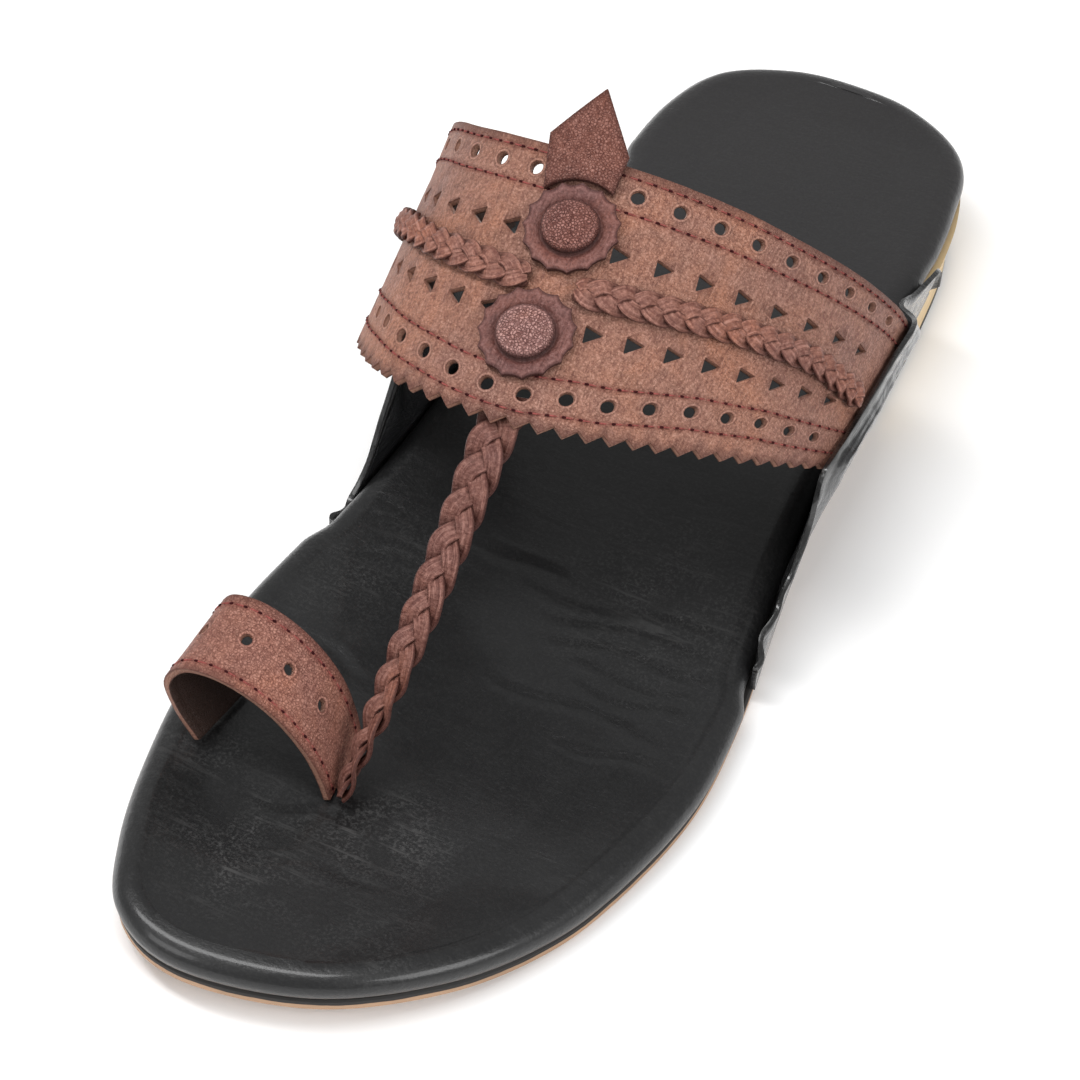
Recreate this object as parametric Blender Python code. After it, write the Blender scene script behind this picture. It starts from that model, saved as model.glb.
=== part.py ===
# Kolhapuri sandal, left shoe: a flat leather sole with a low heel, a punched instep strap held by
# two side wings, a plaited toe strap and a toe loop.
# Metres, +Z up, toe towards -Y, the outer side of the foot towards +X, standing on Z = 0.
import bpy
import bmesh
import math
import numpy as np
from mathutils import Vector
from mathutils.geometry import delaunay_2d_cdt

# Driving dimensions
SHOE_LENGTH = 0.2795
BALL_WIDTH = 0.1005
OUTSOLE_THICK = 0.0026
OUTSOLE_INSET = 0.0009
INSOLE_THICK = 0.0062
HEEL_LIFT = 0.0126
HEEL_START = 0.198
TOP_PIECE_THICK = 0.0018
HEEL_INSET = 0.0005
HEEL_TAPER = 0.0014
HEEL_LEDGE = 0.0013
TOE_SPRING = 0.0050
SPRING_RUN = 0.0500
RISE_START = 0.105
RISE_END = 0.192
GAP = 0.0003
INSOLE_DISH = 0.0009
DISH_FADE = 0.0180
TOE_HOLLOW = 0.0007

STRAP_THICK = 0.0018
STRAP_HALF_SPAN = 0.4975 * BALL_WIDTH
STRAP_BAND_WIDTH = 0.0545
STRAP_REAR_HEIGHT = 0.0892
STRAP_FRONT_HEIGHT = 0.0632
STRAP_FOOT_HEIGHT = 0.0270
STRAP_REAR_CREST = 0.1515
STRAP_FRONT_CREST = 0.1022
STRAP_LEAN = 0.0450
STRAP_MEDIAL_REACH = 0.0970
STRAP_LATERAL_REACH = 0.0970
STRAP_END_SLANT = 0.0062
FRONT_PITCH_SHARE = 0.87

HOLE_DIAMETER = 0.0028
TRIANGLE_SIDE = 0.0042
HOLE_PITCH = 0.0088
PINK_PITCH = 0.0047
PINK_DEPTH = 0.0019

ROSETTE_DIAMETER = 0.0182
ROSETTE_THICK = 0.0015
ROSETTE_CUSPS = 15
ROSETTE_SCALLOP = 0.0004
BUTTON_DIAMETER = 0.0104
BUTTON_HEIGHT = 0.0019
TAB_THICK = 0.0014
TAB_LENGTH = 0.0130
TAB_WIDTH = 0.0160

BRAID_WIDTH = 0.0064
BRAID_THICK = 0.0024
BRAID_PITCH = 0.0168
PLAIT_WIDTH_TOP = 0.0092
PLAIT_WIDTH_FOOT = 0.0056
PLAIT_THICK = 0.0034
PLAIT_PITCH = 0.0205
PLAIT_TUCK = 0.0070
PLAIT_BOW = 0.0004

WING_THICK = 0.0012
LOOP_THICK = 0.0017
LOOP_WIDTH = 0.0165
LOOP_HOLE_DIAMETER = 0.0021
LOOP_HOLE_PITCH = 0.0094

# Sole outline: each row is one station from the toe to the heel.
# station is a share of the length, medial and lateral are shares of the ball width.
OUTLINE = [
    # station, medial, lateral
    (0.0000, -0.130, -0.130),
    (0.0215, -0.289, 0.114),
    (0.0769, -0.378, 0.299),
    (0.1485, -0.443, 0.418),
    (0.2236, -0.481, 0.483),
    (0.3023, -0.486, 0.514),
    (0.3846, -0.464, 0.498),
    (0.4705, -0.430, 0.461),
    (0.5564, -0.403, 0.432),
    (0.6458, -0.386, 0.414),
    (0.7352, -0.376, 0.401),
    (0.8247, -0.366, 0.383),
    (0.9034, -0.354, 0.352),
    (0.9606, -0.294, 0.284),
    (0.9928, -0.149, 0.144),
    (1.0000, 0.000, 0.000),
]

# Edges of the instep strap: a row for each section, from the medial foot over the crest to the lateral foot.
# out is a share of the half span, lean is how far the section lies behind the crest as a share of the strap's
# lean, rise is a share of that edge's height over its feet.
STRAP_SECTIONS = [
    # rear out, rear lean, rear rise, front out, front lean, front rise
    (-0.840, 0.820, 0.050, -0.880, 0.980, 0.000),
    (-0.950, 0.740, 0.225, -0.930, 0.850, 0.190),
    (-0.995, 0.630, 0.405, -0.935, 0.690, 0.380),
    (-0.980, 0.490, 0.570, -0.880, 0.480, 0.575),
    (-0.880, 0.310, 0.745, -0.765, 0.290, 0.725),
    (-0.690, 0.125, 0.880, -0.600, 0.130, 0.865),
    (-0.430, 0.020, 0.970, -0.360, 0.020, 0.968),
    (-0.134, 0.000, 1.000, -0.090, 0.000, 1.000),
    (0.150, 0.078, 0.955, 0.180, 0.085, 0.960),
    (0.400, 0.208, 0.852, 0.420, 0.230, 0.882),
    (0.600, 0.360, 0.714, 0.630, 0.410, 0.763),
    (0.760, 0.535, 0.555, 0.800, 0.620, 0.603),
    (0.868, 0.720, 0.375, 0.930, 0.860, 0.405),
    (0.908, 0.890, 0.200, 0.985, 1.060, 0.220),
    (0.890, 1.020, 0.050, 0.990, 1.230, 0.045),
]

# Toe loop: a row for each section from the medial foot to the lateral foot, in shares of the loop's size.
LOOP_SECTIONS = [
    # across, front height, rear height, rear across
    (0.11, 0.00, 0.00, 0.15),
    (-0.02, 0.30, 0.36, 0.07),
    (-0.08, 0.61, 0.81, 0.00),
    (0.02, 0.85, 1.10, 0.07),
    (0.22, 0.93, 1.18, 0.25),
    (0.45, 0.88, 1.12, 0.45),
    (0.67, 0.72, 0.94, 0.65),
    (0.85, 0.46, 0.66, 0.81),
    (0.95, 0.20, 0.32, 0.90),
    (1.00, 0.00, 0.00, 0.94),
]
LOOP_SPAN = 0.0330
LOOP_HEIGHT = 0.0222
LOOP_MEDIAL_FOOT = (-0.0413, 0.0485)

# Side wings: a row for each rib from the front to the rear. station is a share of the wing's length, the heights
# are shares of the wing's height over the insole, the flares are shares of its flare. Ribs with a place lap over the strap there, place
# being a share of the strap's width from its rear edge.
WING_RIBS = [
    # station, lateral height, medial height, lateral flare, medial flare, place
    (0.000, 0.00, -0.15, 0.02, 0.00, None),
    (0.030, 0.14, -0.15, 0.08, 0.00, None),
    (0.070, 0.29, -0.13, 0.30, 0.00, None),
    (0.140, 0.30, 0.20, 0.45, 0.06, None),
    (0.205, 0.52, 0.58, 0.65, 0.20, None),
    (0.262, 0.0, 0.0, 0.0, 0.0, 1.03),
    (0.390, 0.0, 0.0, 0.0, 0.0, 0.78),
    (0.510, 0.0, 0.0, 0.0, 0.0, 0.52),
    (0.620, 0.0, 0.0, 0.0, 0.0, 0.26),
    (0.720, 0.0, 0.0, 0.0, 0.0, -0.01),
    (0.795, 0.31, 0.24, 0.02, 0.02, None),
    (0.870, 0.18, 0.16, 0.14, 0.16, None),
    (0.940, 0.13, 0.12, 0.36, 0.34, None),
    (0.985, 0.07, 0.06, 0.44, 0.38, None),
    (1.000, -0.12, -0.12, 0.36, 0.30, None),
]
WING_LENGTH = 0.1110
WING_FRONT = 0.1160
WING_HEIGHT = 0.0300
WING_FLARE = 0.0050
WING_LAP = 0.0085
WING_MARGIN = 0.0100
WING_BLEND = 0.0080

# Where the wing's edge crosses the strap, as shares of the strap's reach at its rear and its front edge
WING_REACH = {
    # side: (rear, front)
    "lateral": (0.928, 0.866),
    "medial": (0.948, 0.887),
}

# Line of the instep braids: a row for each place along the strap, away from its middle
BRAID_LINE = [
    # share of the strap's reach, lateral place, medial place, as shares of the strap's width
    (0.000, 0.488, 0.488),
    (0.120, 0.480, 0.486),
    (0.300, 0.464, 0.472),
    (0.430, 0.453, 0.458),
    (0.570, 0.459, 0.450),
    (0.660, 0.474, 0.450),
    (0.740, 0.512, 0.455),
    (0.870, 0.578, 0.475),
]

MATERIALS = {
    # name: (colour, roughness, metallic)
    "outsole_tan": ((0.36, 0.21, 0.13), 0.75, 0.0),
    "heel_cream": ((0.66, 0.49, 0.27), 0.55, 0.0),
    "heel_base_dark": ((0.05, 0.045, 0.04), 0.7, 0.0),
    "insole_black": ((0.018, 0.018, 0.019), 0.45, 0.0),
    "wing_black": ((0.03, 0.03, 0.032), 0.35, 0.0),
    "strap_brown": ((0.25, 0.115, 0.075), 0.5, 0.0),
    "braid_brown": ((0.21, 0.085, 0.055), 0.5, 0.0),
    "rosette_plum": ((0.16, 0.07, 0.06), 0.45, 0.0),
    "tab_red_brown": ((0.19, 0.065, 0.045), 0.45, 0.0),
}


def make_material(name):
    colour, roughness, metallic = MATERIALS[name]
    material = bpy.data.materials.new(name)
    material.use_nodes = True
    shader = material.node_tree.nodes["Principled BSDF"]
    shader.inputs["Base Color"].default_value = (*colour, 1.0)
    shader.inputs["Roughness"].default_value = roughness
    shader.inputs["Metallic"].default_value = metallic
    material.diffuse_color = (*colour, 1.0)
    return material


def add_object(name, vertices, faces, material):
    mesh = bpy.data.meshes.new(name)
    mesh.from_pydata([tuple(map(float, v)) for v in vertices], [], [tuple(map(int, f)) for f in faces])
    work = bmesh.new()
    work.from_mesh(mesh)
    bmesh.ops.remove_doubles(work, verts=work.verts, dist=0.00001)
    bmesh.ops.dissolve_degenerate(work, edges=work.edges, dist=0.000005)
    bmesh.ops.triangulate(work, faces=work.faces)
    bmesh.ops.recalc_face_normals(work, faces=work.faces)
    work.to_mesh(mesh)
    work.free()
    mesh.materials.append(materials[material])
    mesh.shade_smooth()
    mesh.set_sharp_from_angle(angle=math.radians(35))
    part = bpy.data.objects.new(name, mesh)
    collection.objects.link(part)
    part.parent = origin
    return part


def smooth(share):
    share = np.clip(share, 0.0, 1.0)
    return share * share * (3 - 2 * share)


def spline(rows, count):
    # Catmull-Rom curve through the rows, whose end rows are its end points
    rows = np.asarray(rows, float)
    padded = np.vstack([2 * rows[0] - rows[1], rows, 2 * rows[-1] - rows[-2]])
    return catmull(padded, count)


def catmull(padded, count):
    spans = len(padded) - 3
    place = np.linspace(0, spans, count)
    first = np.minimum(place.astype(int), spans - 1)
    u = (place - first)[:, None]
    a, b, c, d = (padded[first + k] for k in range(4))
    return 0.5 * (2 * b + (c - a) * u + (2 * a - 5 * b + 4 * c - d) * u**2 + (3 * b - a - 3 * c + d) * u**3)


def normalize(vectors):
    return vectors / np.maximum(np.linalg.norm(vectors, axis=-1, keepdims=True), 1e-12)


# Sole

def sole_sides(count):
    # points of the medial and of the lateral side, toe to heel, at shared stations
    rows = np.array(OUTLINE)
    station = (rows[:, 0] - 0.5) * SHOE_LENGTH
    sides = []
    for near, far in ((1, 2), (2, 1)):
        points = np.c_[rows[:, near] * BALL_WIDTH, station]
        toe_ghost = (rows[1, far] * BALL_WIDTH, station[1])
        heel_ghost = (rows[-2, far] * BALL_WIDTH, station[-2])
        sides.append(catmull(np.vstack([toe_ghost, points, heel_ghost]), count))
    return sides


def inset_sides(sides, distance):
    # moves both sides inward, distance is one value or one for each station
    medial, lateral = sides
    ring = np.vstack([medial, lateral[-2:0:-1]])
    along = np.roll(ring, -1, 0) - np.roll(ring, 1, 0)
    inward = normalize(np.c_[-along[:, 1], along[:, 0]])
    middle = ring.mean(axis=0)
    inward *= np.sign(((middle - ring) * inward).sum(axis=1).sum())
    count = len(medial)
    shares = np.broadcast_to(distance, count)
    both = np.r_[shares, shares[-2:0:-1]]
    moved = ring + inward * both[:, None]
    return moved[:count], np.vstack([moved[:1], moved[count:][::-1], moved[count - 1:count]])


def ground_rise(y):
    # height of the outsole's underside: flat at the ball, up to the heel seat, with a little toe spring
    from_toe = y + SHOE_LENGTH / 2
    lift = HEEL_LIFT * smooth((from_toe - RISE_START) / (RISE_END - RISE_START))
    return lift + TOE_SPRING * smooth((SPRING_RUN - from_toe) / SPRING_RUN)


def insole_base(y):
    return ground_rise(y) + OUTSOLE_THICK + GAP


def wing_window(y):
    # one along the stretch of the sole's edge that the side wings cover
    from_toe = y + SHOE_LENGTH / 2
    front = smooth((from_toe - WING_FRONT + WING_MARGIN) / WING_BLEND)
    rear = smooth((WING_FRONT + WING_LENGTH + WING_MARGIN - from_toe) / WING_BLEND)
    return front * rear


def ledge_window(y):
    # one along the outer edge of the heel, behind the wing, where the heel shows beside the insole
    from_toe = y / SHOE_LENGTH + 0.5
    return smooth((from_toe - 0.79) / 0.03) * smooth((0.95 - from_toe) / 0.06)


def insole_sides(sides, distance):
    # the insole's two sides, drawn in for the wings and along the heel's outer edge
    y = sides[0][:, 1]
    tuck = (WING_THICK + 2 * GAP) * wing_window(y) + distance
    medial = inset_sides(sides, tuck)[0]
    lateral = inset_sides(sides, tuck + HEEL_LEDGE * ledge_window(y) * (1 - wing_window(y)))[1]
    return medial, lateral


def strip_solid(name, bottom, top, material):
    # a solid between two pairs of sides, each side being points with heights
    rows = len(bottom[0])
    vertices = np.vstack([bottom[0], bottom[1], top[0], top[1]])
    low_in, low_out, high_in, high_out = (k * rows for k in range(4))
    faces = []
    for i in range(rows - 1):
        faces.append((low_in + i, low_out + i, low_out + i + 1, low_in + i + 1))
        faces.append((high_in + i, high_in + i + 1, high_out + i + 1, high_out + i))
        faces.append((low_in + i, low_in + i + 1, high_in + i + 1, high_in + i))
        faces.append((low_out + i, high_out + i, high_out + i + 1, low_out + i + 1))
    for i in (0, rows - 1):
        faces.append((low_in + i, high_in + i, high_out + i, low_out + i))
    return add_object(name, vertices, faces, material)


def with_height(points, height):
    return np.c_[points, height(points[:, 1])]


def cut_sides(sides, y_cut, keep_front):
    # the part of both sides on one side of a straight line across the sole
    kept = []
    for side in sides:
        y = side[:, 1]
        x_cut = np.interp(y_cut, y, side[:, 0])
        inside = side[y < y_cut - 0.0008] if keep_front else side[y > y_cut + 0.0008]
        end = np.array([[x_cut, y_cut]])
        kept.append(np.vstack([inside, end]) if keep_front else np.vstack([end, inside]))
    shortest = min(map(len, kept))
    return [side[-shortest:] if keep_front else side[:shortest] for side in kept]


def outsole():
    breast_y = HEEL_START - SHOE_LENGTH / 2
    low = cut_sides(inset_sides(sole_sides(44), OUTSOLE_INSET), breast_y - GAP, True)
    bottom = [with_height(side, ground_rise) for side in low]
    top = [with_height(side, lambda y: ground_rise(y) + OUTSOLE_THICK) for side in low]
    return strip_solid("outsole", bottom, top, "outsole_tan")


def heel_layer(name, low_z, high_z, low_inset, high_inset, material):
    breast_y = HEEL_START - SHOE_LENGTH / 2
    layers = []
    for inset, height in ((low_inset, low_z), (high_inset, high_z)):
        sides = cut_sides(inset_sides(sole_sides(56), inset), breast_y, False)
        layers.append([with_height(side, height) for side in sides])
    return strip_solid(name, layers[0], layers[1], material)


def heel():
    flat = lambda y: np.full(len(y), 0.0)
    base = lambda y: np.full(len(y), TOP_PIECE_THICK)
    block_low = lambda y: np.full(len(y), TOP_PIECE_THICK + GAP)
    block_high = lambda y: insole_base(y) - GAP
    low_inset = HEEL_INSET + HEEL_TAPER
    heel_layer("heel_top_piece", flat, base, low_inset, low_inset, "heel_base_dark")
    heel_layer("heel_block", block_low, block_high, low_inset, HEEL_INSET, "heel_cream")


def insole():
    # rolled edge: a row for each ring from the underside to the top, inset and height as shares of the thickness
    edge_roll = [(0.34, 0.0), (0.06, 0.16), (0.0, 0.42), (0.10, 0.70), (0.36, 0.92), (0.80, 1.0)]
    stations = 40
    columns = 8
    sides = sole_sides(stations)
    vertices = []
    faces = []
    size = 2 * stations - 2
    for inset, height in edge_roll:
        medial, lateral = insole_sides(sides, inset * INSOLE_THICK)
        ring = np.vstack([medial, lateral[-2:0:-1]])
        vertices.extend(np.c_[ring, insole_base(ring[:, 1]) + height * INSOLE_THICK])
    for level in range(len(edge_roll) - 1):
        for i in range(size):
            j = (i + 1) % size
            low, high = level * size, (level + 1) * size
            faces.append((low + i, low + j, high + j, high + i))

    def lateral_index(level, i):
        return level * size + (i if i in (0, stations - 1) else size - i)

    for i in range(stations - 1):
        faces.append((i, lateral_index(0, i), lateral_index(0, i + 1), i + 1))
    last = len(edge_roll) - 1
    grid = []
    for i in range(stations):
        left, right = last * size + i, lateral_index(last, i)
        row = [left]
        for k in range(1, columns):
            share = k / columns
            point = np.array(vertices[left]) * (1 - share) + np.array(vertices[right]) * share
            if 0 < i < stations - 1:
                point[2] -= insole_drop(share, point)
                vertices.append(point)
                row.append(len(vertices) - 1)
            else:
                row.append(left)
        grid.append(row + [right])
    for i in range(stations - 1):
        for k in range(columns):
            faces.append((grid[i][k], grid[i][k + 1], grid[i + 1][k + 1], grid[i + 1][k]))
    faces = [tuple(dict.fromkeys(face)) for face in faces]
    return add_object("insole", vertices, [face for face in faces if len(face) > 2], "insole_black")


def insole_drop(share, point):
    # the footbed is dished across, with a shallow dip worn under the ball and the toes
    dx = (point[0] + 0.05 * BALL_WIDTH) / (0.36 * BALL_WIDTH)
    dy = (point[1] + 0.27 * SHOE_LENGTH) / (0.17 * SHOE_LENGTH)
    ends = smooth((SHOE_LENGTH / 2 - abs(point[1])) / DISH_FADE)
    return ends * INSOLE_DISH * min(1.0, 6.4 * share * (1 - share)) + TOE_HOLLOW * math.exp(-dx * dx - dy * dy)


def insole_top(x, y):
    # height of the footbed at one place
    low, high = inset_sides(sole_sides(40), 0.8 * INSOLE_THICK)
    left, right = np.interp(y, low[:, 1], low[:, 0]), np.interp(y, high[:, 1], high[:, 0])
    share = min(1.0, max(0.0, (x - left) / (right - left)))
    return insole_base(np.array([y]))[0] + INSOLE_THICK - insole_drop(share, (x, y))


# Instep strap surface

class Band:
    # a bent band between two edge curves. s runs along it from the crest, v across it from the rear edge,
    # h stands off its outer face.
    def __init__(self, rear, front, width, front_share, crest):
        self.rear, self.front = rear, front
        self.width = width
        self.front_share = front_share
        self.rear_s = self.lengths(rear, crest)
        self.front_s = self.lengths(front, crest) if front_share < 1 else self.rear_s

    @staticmethod
    def lengths(points, crest):
        run = np.r_[0.0, np.cumsum(np.linalg.norm(np.diff(points, axis=0), axis=1))]
        return run - run[crest]

    @staticmethod
    def on_edge(points, run, s):
        inside = np.array([np.interp(s, run, points[:, k]) for k in range(3)]).T
        over = np.maximum(s - run[-1], 0.0)[:, None] * normalize(points[-1] - points[-3])
        under = np.minimum(s - run[0], 0.0)[:, None] * normalize(points[2] - points[0])
        return inside + over + under

    def surface(self, s, v):
        share = (v / self.width)[:, None]
        rear = self.on_edge(self.rear, self.rear_s, s)
        front = self.on_edge(self.front, self.front_s, s * self.front_share)
        return rear * (1 - share) + front * share

    def points(self, s, v, h):
        s, v, h = (np.atleast_1d(np.asarray(k, float)) for k in np.broadcast_arrays(s, v, h))
        step = 0.0016
        along = self.surface(s + step, v) - self.surface(s - step, v)
        across = self.surface(s, v + step) - self.surface(s, v - step)
        normal = normalize(np.cross(across, along))
        return self.surface(s, v) + normal * h[:, None]

    def squeeze(self, v):
        # how much shorter the band is at v than along its rear edge
        return 1 - (1 - self.front_share) * v / self.width


def strap_band():
    rows = np.array(STRAP_SECTIONS)
    edges = []
    for first, height, crest_y in ((0, STRAP_REAR_HEIGHT, STRAP_REAR_CREST), (3, STRAP_FRONT_HEIGHT, STRAP_FRONT_CREST)):
        out, lean, rise = rows[:, first], rows[:, first + 1], rows[:, first + 2]
        x = out * STRAP_HALF_SPAN
        y = crest_y - SHOE_LENGTH / 2 + lean * STRAP_LEAN
        z = STRAP_FOOT_HEIGHT + rise * (height - STRAP_FOOT_HEIGHT)
        edges.append(spline(np.c_[x, y, z], (len(rows) - 1) * 10 + 1))
    crest = 7 * 10
    return Band(edges[0], edges[1], STRAP_BAND_WIDTH, FRONT_PITCH_SHARE, crest)


def loop_band():
    rows = np.array(LOOP_SECTIONS)
    foot_x, foot_y = LOOP_MEDIAL_FOOT
    y_front = foot_y - SHOE_LENGTH / 2 + 0 * rows[:, 0]
    seats = [insole_top(foot_x + way * LOOP_SPAN, y_front[0] + 0.5 * LOOP_WIDTH) + 3 * GAP for way in (0.05, 1.0)]
    floor = seats[0] + (seats[1] - seats[0]) * np.linspace(0, 1, len(rows))
    front = np.c_[foot_x + rows[:, 0] * LOOP_SPAN, y_front, floor + rows[:, 1] * LOOP_HEIGHT]
    rear = np.c_[foot_x + rows[:, 3] * LOOP_SPAN, y_front + LOOP_WIDTH, floor + rows[:, 2] * LOOP_HEIGHT]
    count = (len(rows) - 1) * 8 + 1
    return Band(spline(rear, count), spline(front, count), LOOP_WIDTH, 1.0, count // 2)


# Flat leather pieces that are cut, punched and then bent onto a band

def circle(centre, radius, sides, squeeze=1.0):
    turn = np.linspace(0, 2 * math.pi, sides, endpoint=False) + math.pi / sides
    return np.c_[centre[0] + radius * np.cos(turn) / squeeze, centre[1] + radius * np.sin(turn)]


def triangle(centre, side, point_to, squeeze=1.0):
    # apex towards +s or -s
    turn = np.array([0.0, 2.2, 4.083])
    return np.c_[centre[0] + point_to * side * 0.56 * np.cos(turn) / squeeze, centre[1] + side * 0.56 * np.sin(turn)]


def inside_loop(point, loop):
    x, y = point
    hit = False
    for (x0, y0), (x1, y1) in zip(loop, np.roll(loop, -1, 0)):
        if (y0 > y) != (y1 > y) and x < (x1 - x0) * (y - y0) / (y1 - y0) + x0:
            hit = not hit
    return hit


def flat_piece(name, band, outline, holes, spacing, under, over, material):
    # triangulates a flat pattern and bends it, under and over give the height of its two faces at s, v
    loops = [np.asarray(outline)] + [np.asarray(hole) for hole in holes]
    points = [p for loop in loops for p in loop]
    edges = []
    start = 0
    for loop in loops:
        edges += [(start + k, start + (k + 1) % len(loop)) for k in range(len(loop))]
        start += len(loop)
    border = np.array(points)
    low, high = border.min(axis=0), border.max(axis=0)
    for s in np.arange(low[0] + spacing, high[0] - 0.4 * spacing, spacing):
        for v in np.arange(low[1] + spacing, high[1] - 0.4 * spacing, spacing):
            near = np.hypot(border[:, 0] - s, border[:, 1] - v).min()
            if near > 0.42 * spacing and inside_loop((s, v), loops[0]):
                if not any(inside_loop((s, v), hole) for hole in loops[1:]):
                    points.append(np.array([s, v]))
    scale = 1000.0
    vertices, _, faces, *_ = delaunay_2d_cdt([Vector(p) * scale for p in points], edges, [], 1, 1e-5)
    flat = np.array([tuple(v) for v in vertices]) / scale
    kept = []
    for face in faces:
        middle = flat[list(face)].mean(axis=0)
        if inside_loop(middle, loops[0]) and not any(inside_loop(middle, hole) for hole in loops[1:]):
            kept.append(tuple(face))
    used = sorted({k for face in kept for k in face})
    number = {old: new for new, old in enumerate(used)}
    flat = flat[used]
    kept = [tuple(number[k] for k in face) for face in kept]
    s, v = flat[:, 0], flat[:, 1]
    solid = np.vstack([band.points(s, v, over(s, v)), band.points(s, v, under(s, v))])
    size = len(flat)
    count = {}
    for face in kept:
        for a, b in zip(face, face[1:] + face[:1]):
            count[(a, b)] = count.get((a, b), 0) + 1
    rim = [(a, b) for a, b in count if (b, a) not in count]
    all_faces = kept + [tuple(k + size for k in face[::-1]) for face in kept]
    all_faces += [(b, a, a + size, b + size) for a, b in rim]
    return add_object(name, solid, all_faces, material)


def level(height):
    return lambda s, v: np.full(len(s), height)


# Inner and outer end of each instep braid, as shares of the strap's reach
BRAID_ENDS = {"lateral": (0.062, 0.850), "medial": (0.045, 0.745)}

# Rows of the strap's pattern, as shares of its width from the rear edge
ROW_REAR_HOLES = 0.095
ROW_REAR_TRIANGLES = 0.315
ROW_FRONT_TRIANGLES = 0.615
ROW_FRONT_HOLES = 0.857
ROW_REAR_ROSETTE = 0.28
ROW_FRONT_ROSETTE = 0.68

# Rows of holes: the first hole stands a share of the hole pitch away from the strap's middle
HOLE_ROWS = [
    # row, kind, medial count, lateral count, first medial hole, first lateral hole, lateral pitch
    (ROW_REAR_HOLES, "round", 6, 9, 1.364, 1.080, 1.00),
    (ROW_REAR_TRIANGLES, "triangle", 6, 8, 1.398, 1.216, 1.05),
    (ROW_FRONT_TRIANGLES, "triangle", 6, 8, 1.136, 1.409, 1.00),
    (ROW_FRONT_HOLES, "round", 7, 9, 0.455, 0.500, 1.01),
]

# The front row of holes sways over the foot: share of the strap's reach, sway as a share of its width
ROW_SWAY = [
    (-1.00, -0.045),
    (-0.42, -0.040),
    (-0.31, -0.020),
    (-0.22, -0.008),
    (-0.13, 0.010),
    (-0.04, 0.020),
    (0.05, 0.022),
    (0.14, 0.003),
    (0.23, -0.002),
    (0.32, -0.022),
    (0.42, -0.044),
    (0.51, -0.047),
    (0.60, -0.053),
    (0.70, -0.040),
    (0.80, -0.030),
    (1.00, -0.020),
]


def strap_holes(band):
    holes = []
    sway = np.array(ROW_SWAY)
    for row, kind, medial, lateral, first_in, first_out, lateral_pitch in HOLE_ROWS:
        v = row * band.width
        squeeze = band.squeeze(v)
        places = [(-(first_in + k) * HOLE_PITCH, -1) for k in range(medial)]
        places += [((first_out + k * lateral_pitch) * HOLE_PITCH, 1) for k in range(lateral)]
        for s, way in places:
            if row == ROW_FRONT_HOLES:
                reach = STRAP_LATERAL_REACH if way > 0 else STRAP_MEDIAL_REACH
                v = (row + np.interp(s / reach, sway[:, 0], sway[:, 1])) * band.width
            if kind == "round":
                holes.append(circle((s, v), HOLE_DIAMETER / 2, 8, squeeze))
            else:
                holes.append(triangle((s, v), TRIANGLE_SIDE, way, squeeze))
    return holes


def strap_outline(band):
    # straight rear edge, ends, and a pinked front edge
    medial, lateral = -STRAP_MEDIAL_REACH, STRAP_LATERAL_REACH
    rear = [(s, 0.0) for s in np.linspace(medial, lateral, 30)]
    medial, lateral = medial + STRAP_END_SLANT, lateral - STRAP_END_SLANT
    teeth = round((lateral - medial) * band.front_share / PINK_PITCH)
    step = (lateral - medial) / teeth
    front = []
    for k in range(teeth):
        s = lateral - k * step
        front += [(s, band.width), (s - step / 2, band.width - PINK_DEPTH)]
    front.append((medial, band.width))
    return rear + front


def instep_strap(band):
    holes = strap_holes(band)
    return flat_piece("instep_strap", band, strap_outline(band), holes, 0.0085, level(-STRAP_THICK), level(0.0),
                      "strap_brown")


def rosette(name, band, row):
    centre = np.array([0.0, row * band.width])
    squeeze = band.squeeze(centre[1])
    turn = np.linspace(0, 2 * math.pi, ROSETTE_CUSPS * 2, endpoint=False)
    radius = ROSETTE_DIAMETER / 2 - ROSETTE_SCALLOP * (1 - np.cos(turn * ROSETTE_CUSPS))
    edge = np.c_[centre[0] + radius * np.cos(turn) / squeeze, centre[1] + radius * np.sin(turn)]
    flat_piece("rosette_" + name, band, edge, [], 0.0040, level(GAP), level(GAP + ROSETTE_THICK), "rosette_plum")
    rim = circle(centre, BUTTON_DIAMETER / 2, 20, squeeze)
    seat = 2 * GAP + ROSETTE_THICK

    def dome(s, v):
        away = np.hypot((s - centre[0]) * squeeze, v - centre[1]) / (BUTTON_DIAMETER / 2)
        return seat + BUTTON_HEIGHT * (0.35 + 0.65 * np.sqrt(np.clip(1 - away**2.6, 0, 1)))

    flat_piece("button_" + name, band, rim, [], 0.0026, level(seat), dome, "rosette_plum")


def leaf_tab(band):
    # a pointed tab that lies on the strap behind the rear rosette and reaches past the rear edge
    centre_v = ROW_REAR_ROSETTE * band.width
    clear = ROSETTE_DIAMETER / 2 + GAP * 2
    # shoulder, tip and shoulder, then the two ends of the rosette's arc, as shares of the tab's width and length
    corners = [(0.31 * TAB_WIDTH, -0.09 * TAB_LENGTH), (-0.23 * TAB_WIDTH, -TAB_LENGTH),
               (-0.69 * TAB_WIDTH, -0.11 * TAB_LENGTH)]
    arc = []
    for s in np.linspace(-0.50 * TAB_WIDTH, 0.31 * TAB_WIDTH, 7):
        arc.append((s, centre_v - math.sqrt(clear**2 - (s * band.squeeze(centre_v)) ** 2)))
    outline = corners + arc
    flat_piece("leaf_tab", band, outline, [], 0.0042, level(GAP), level(GAP + TAB_THICK), "tab_red_brown")


# Braids

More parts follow.
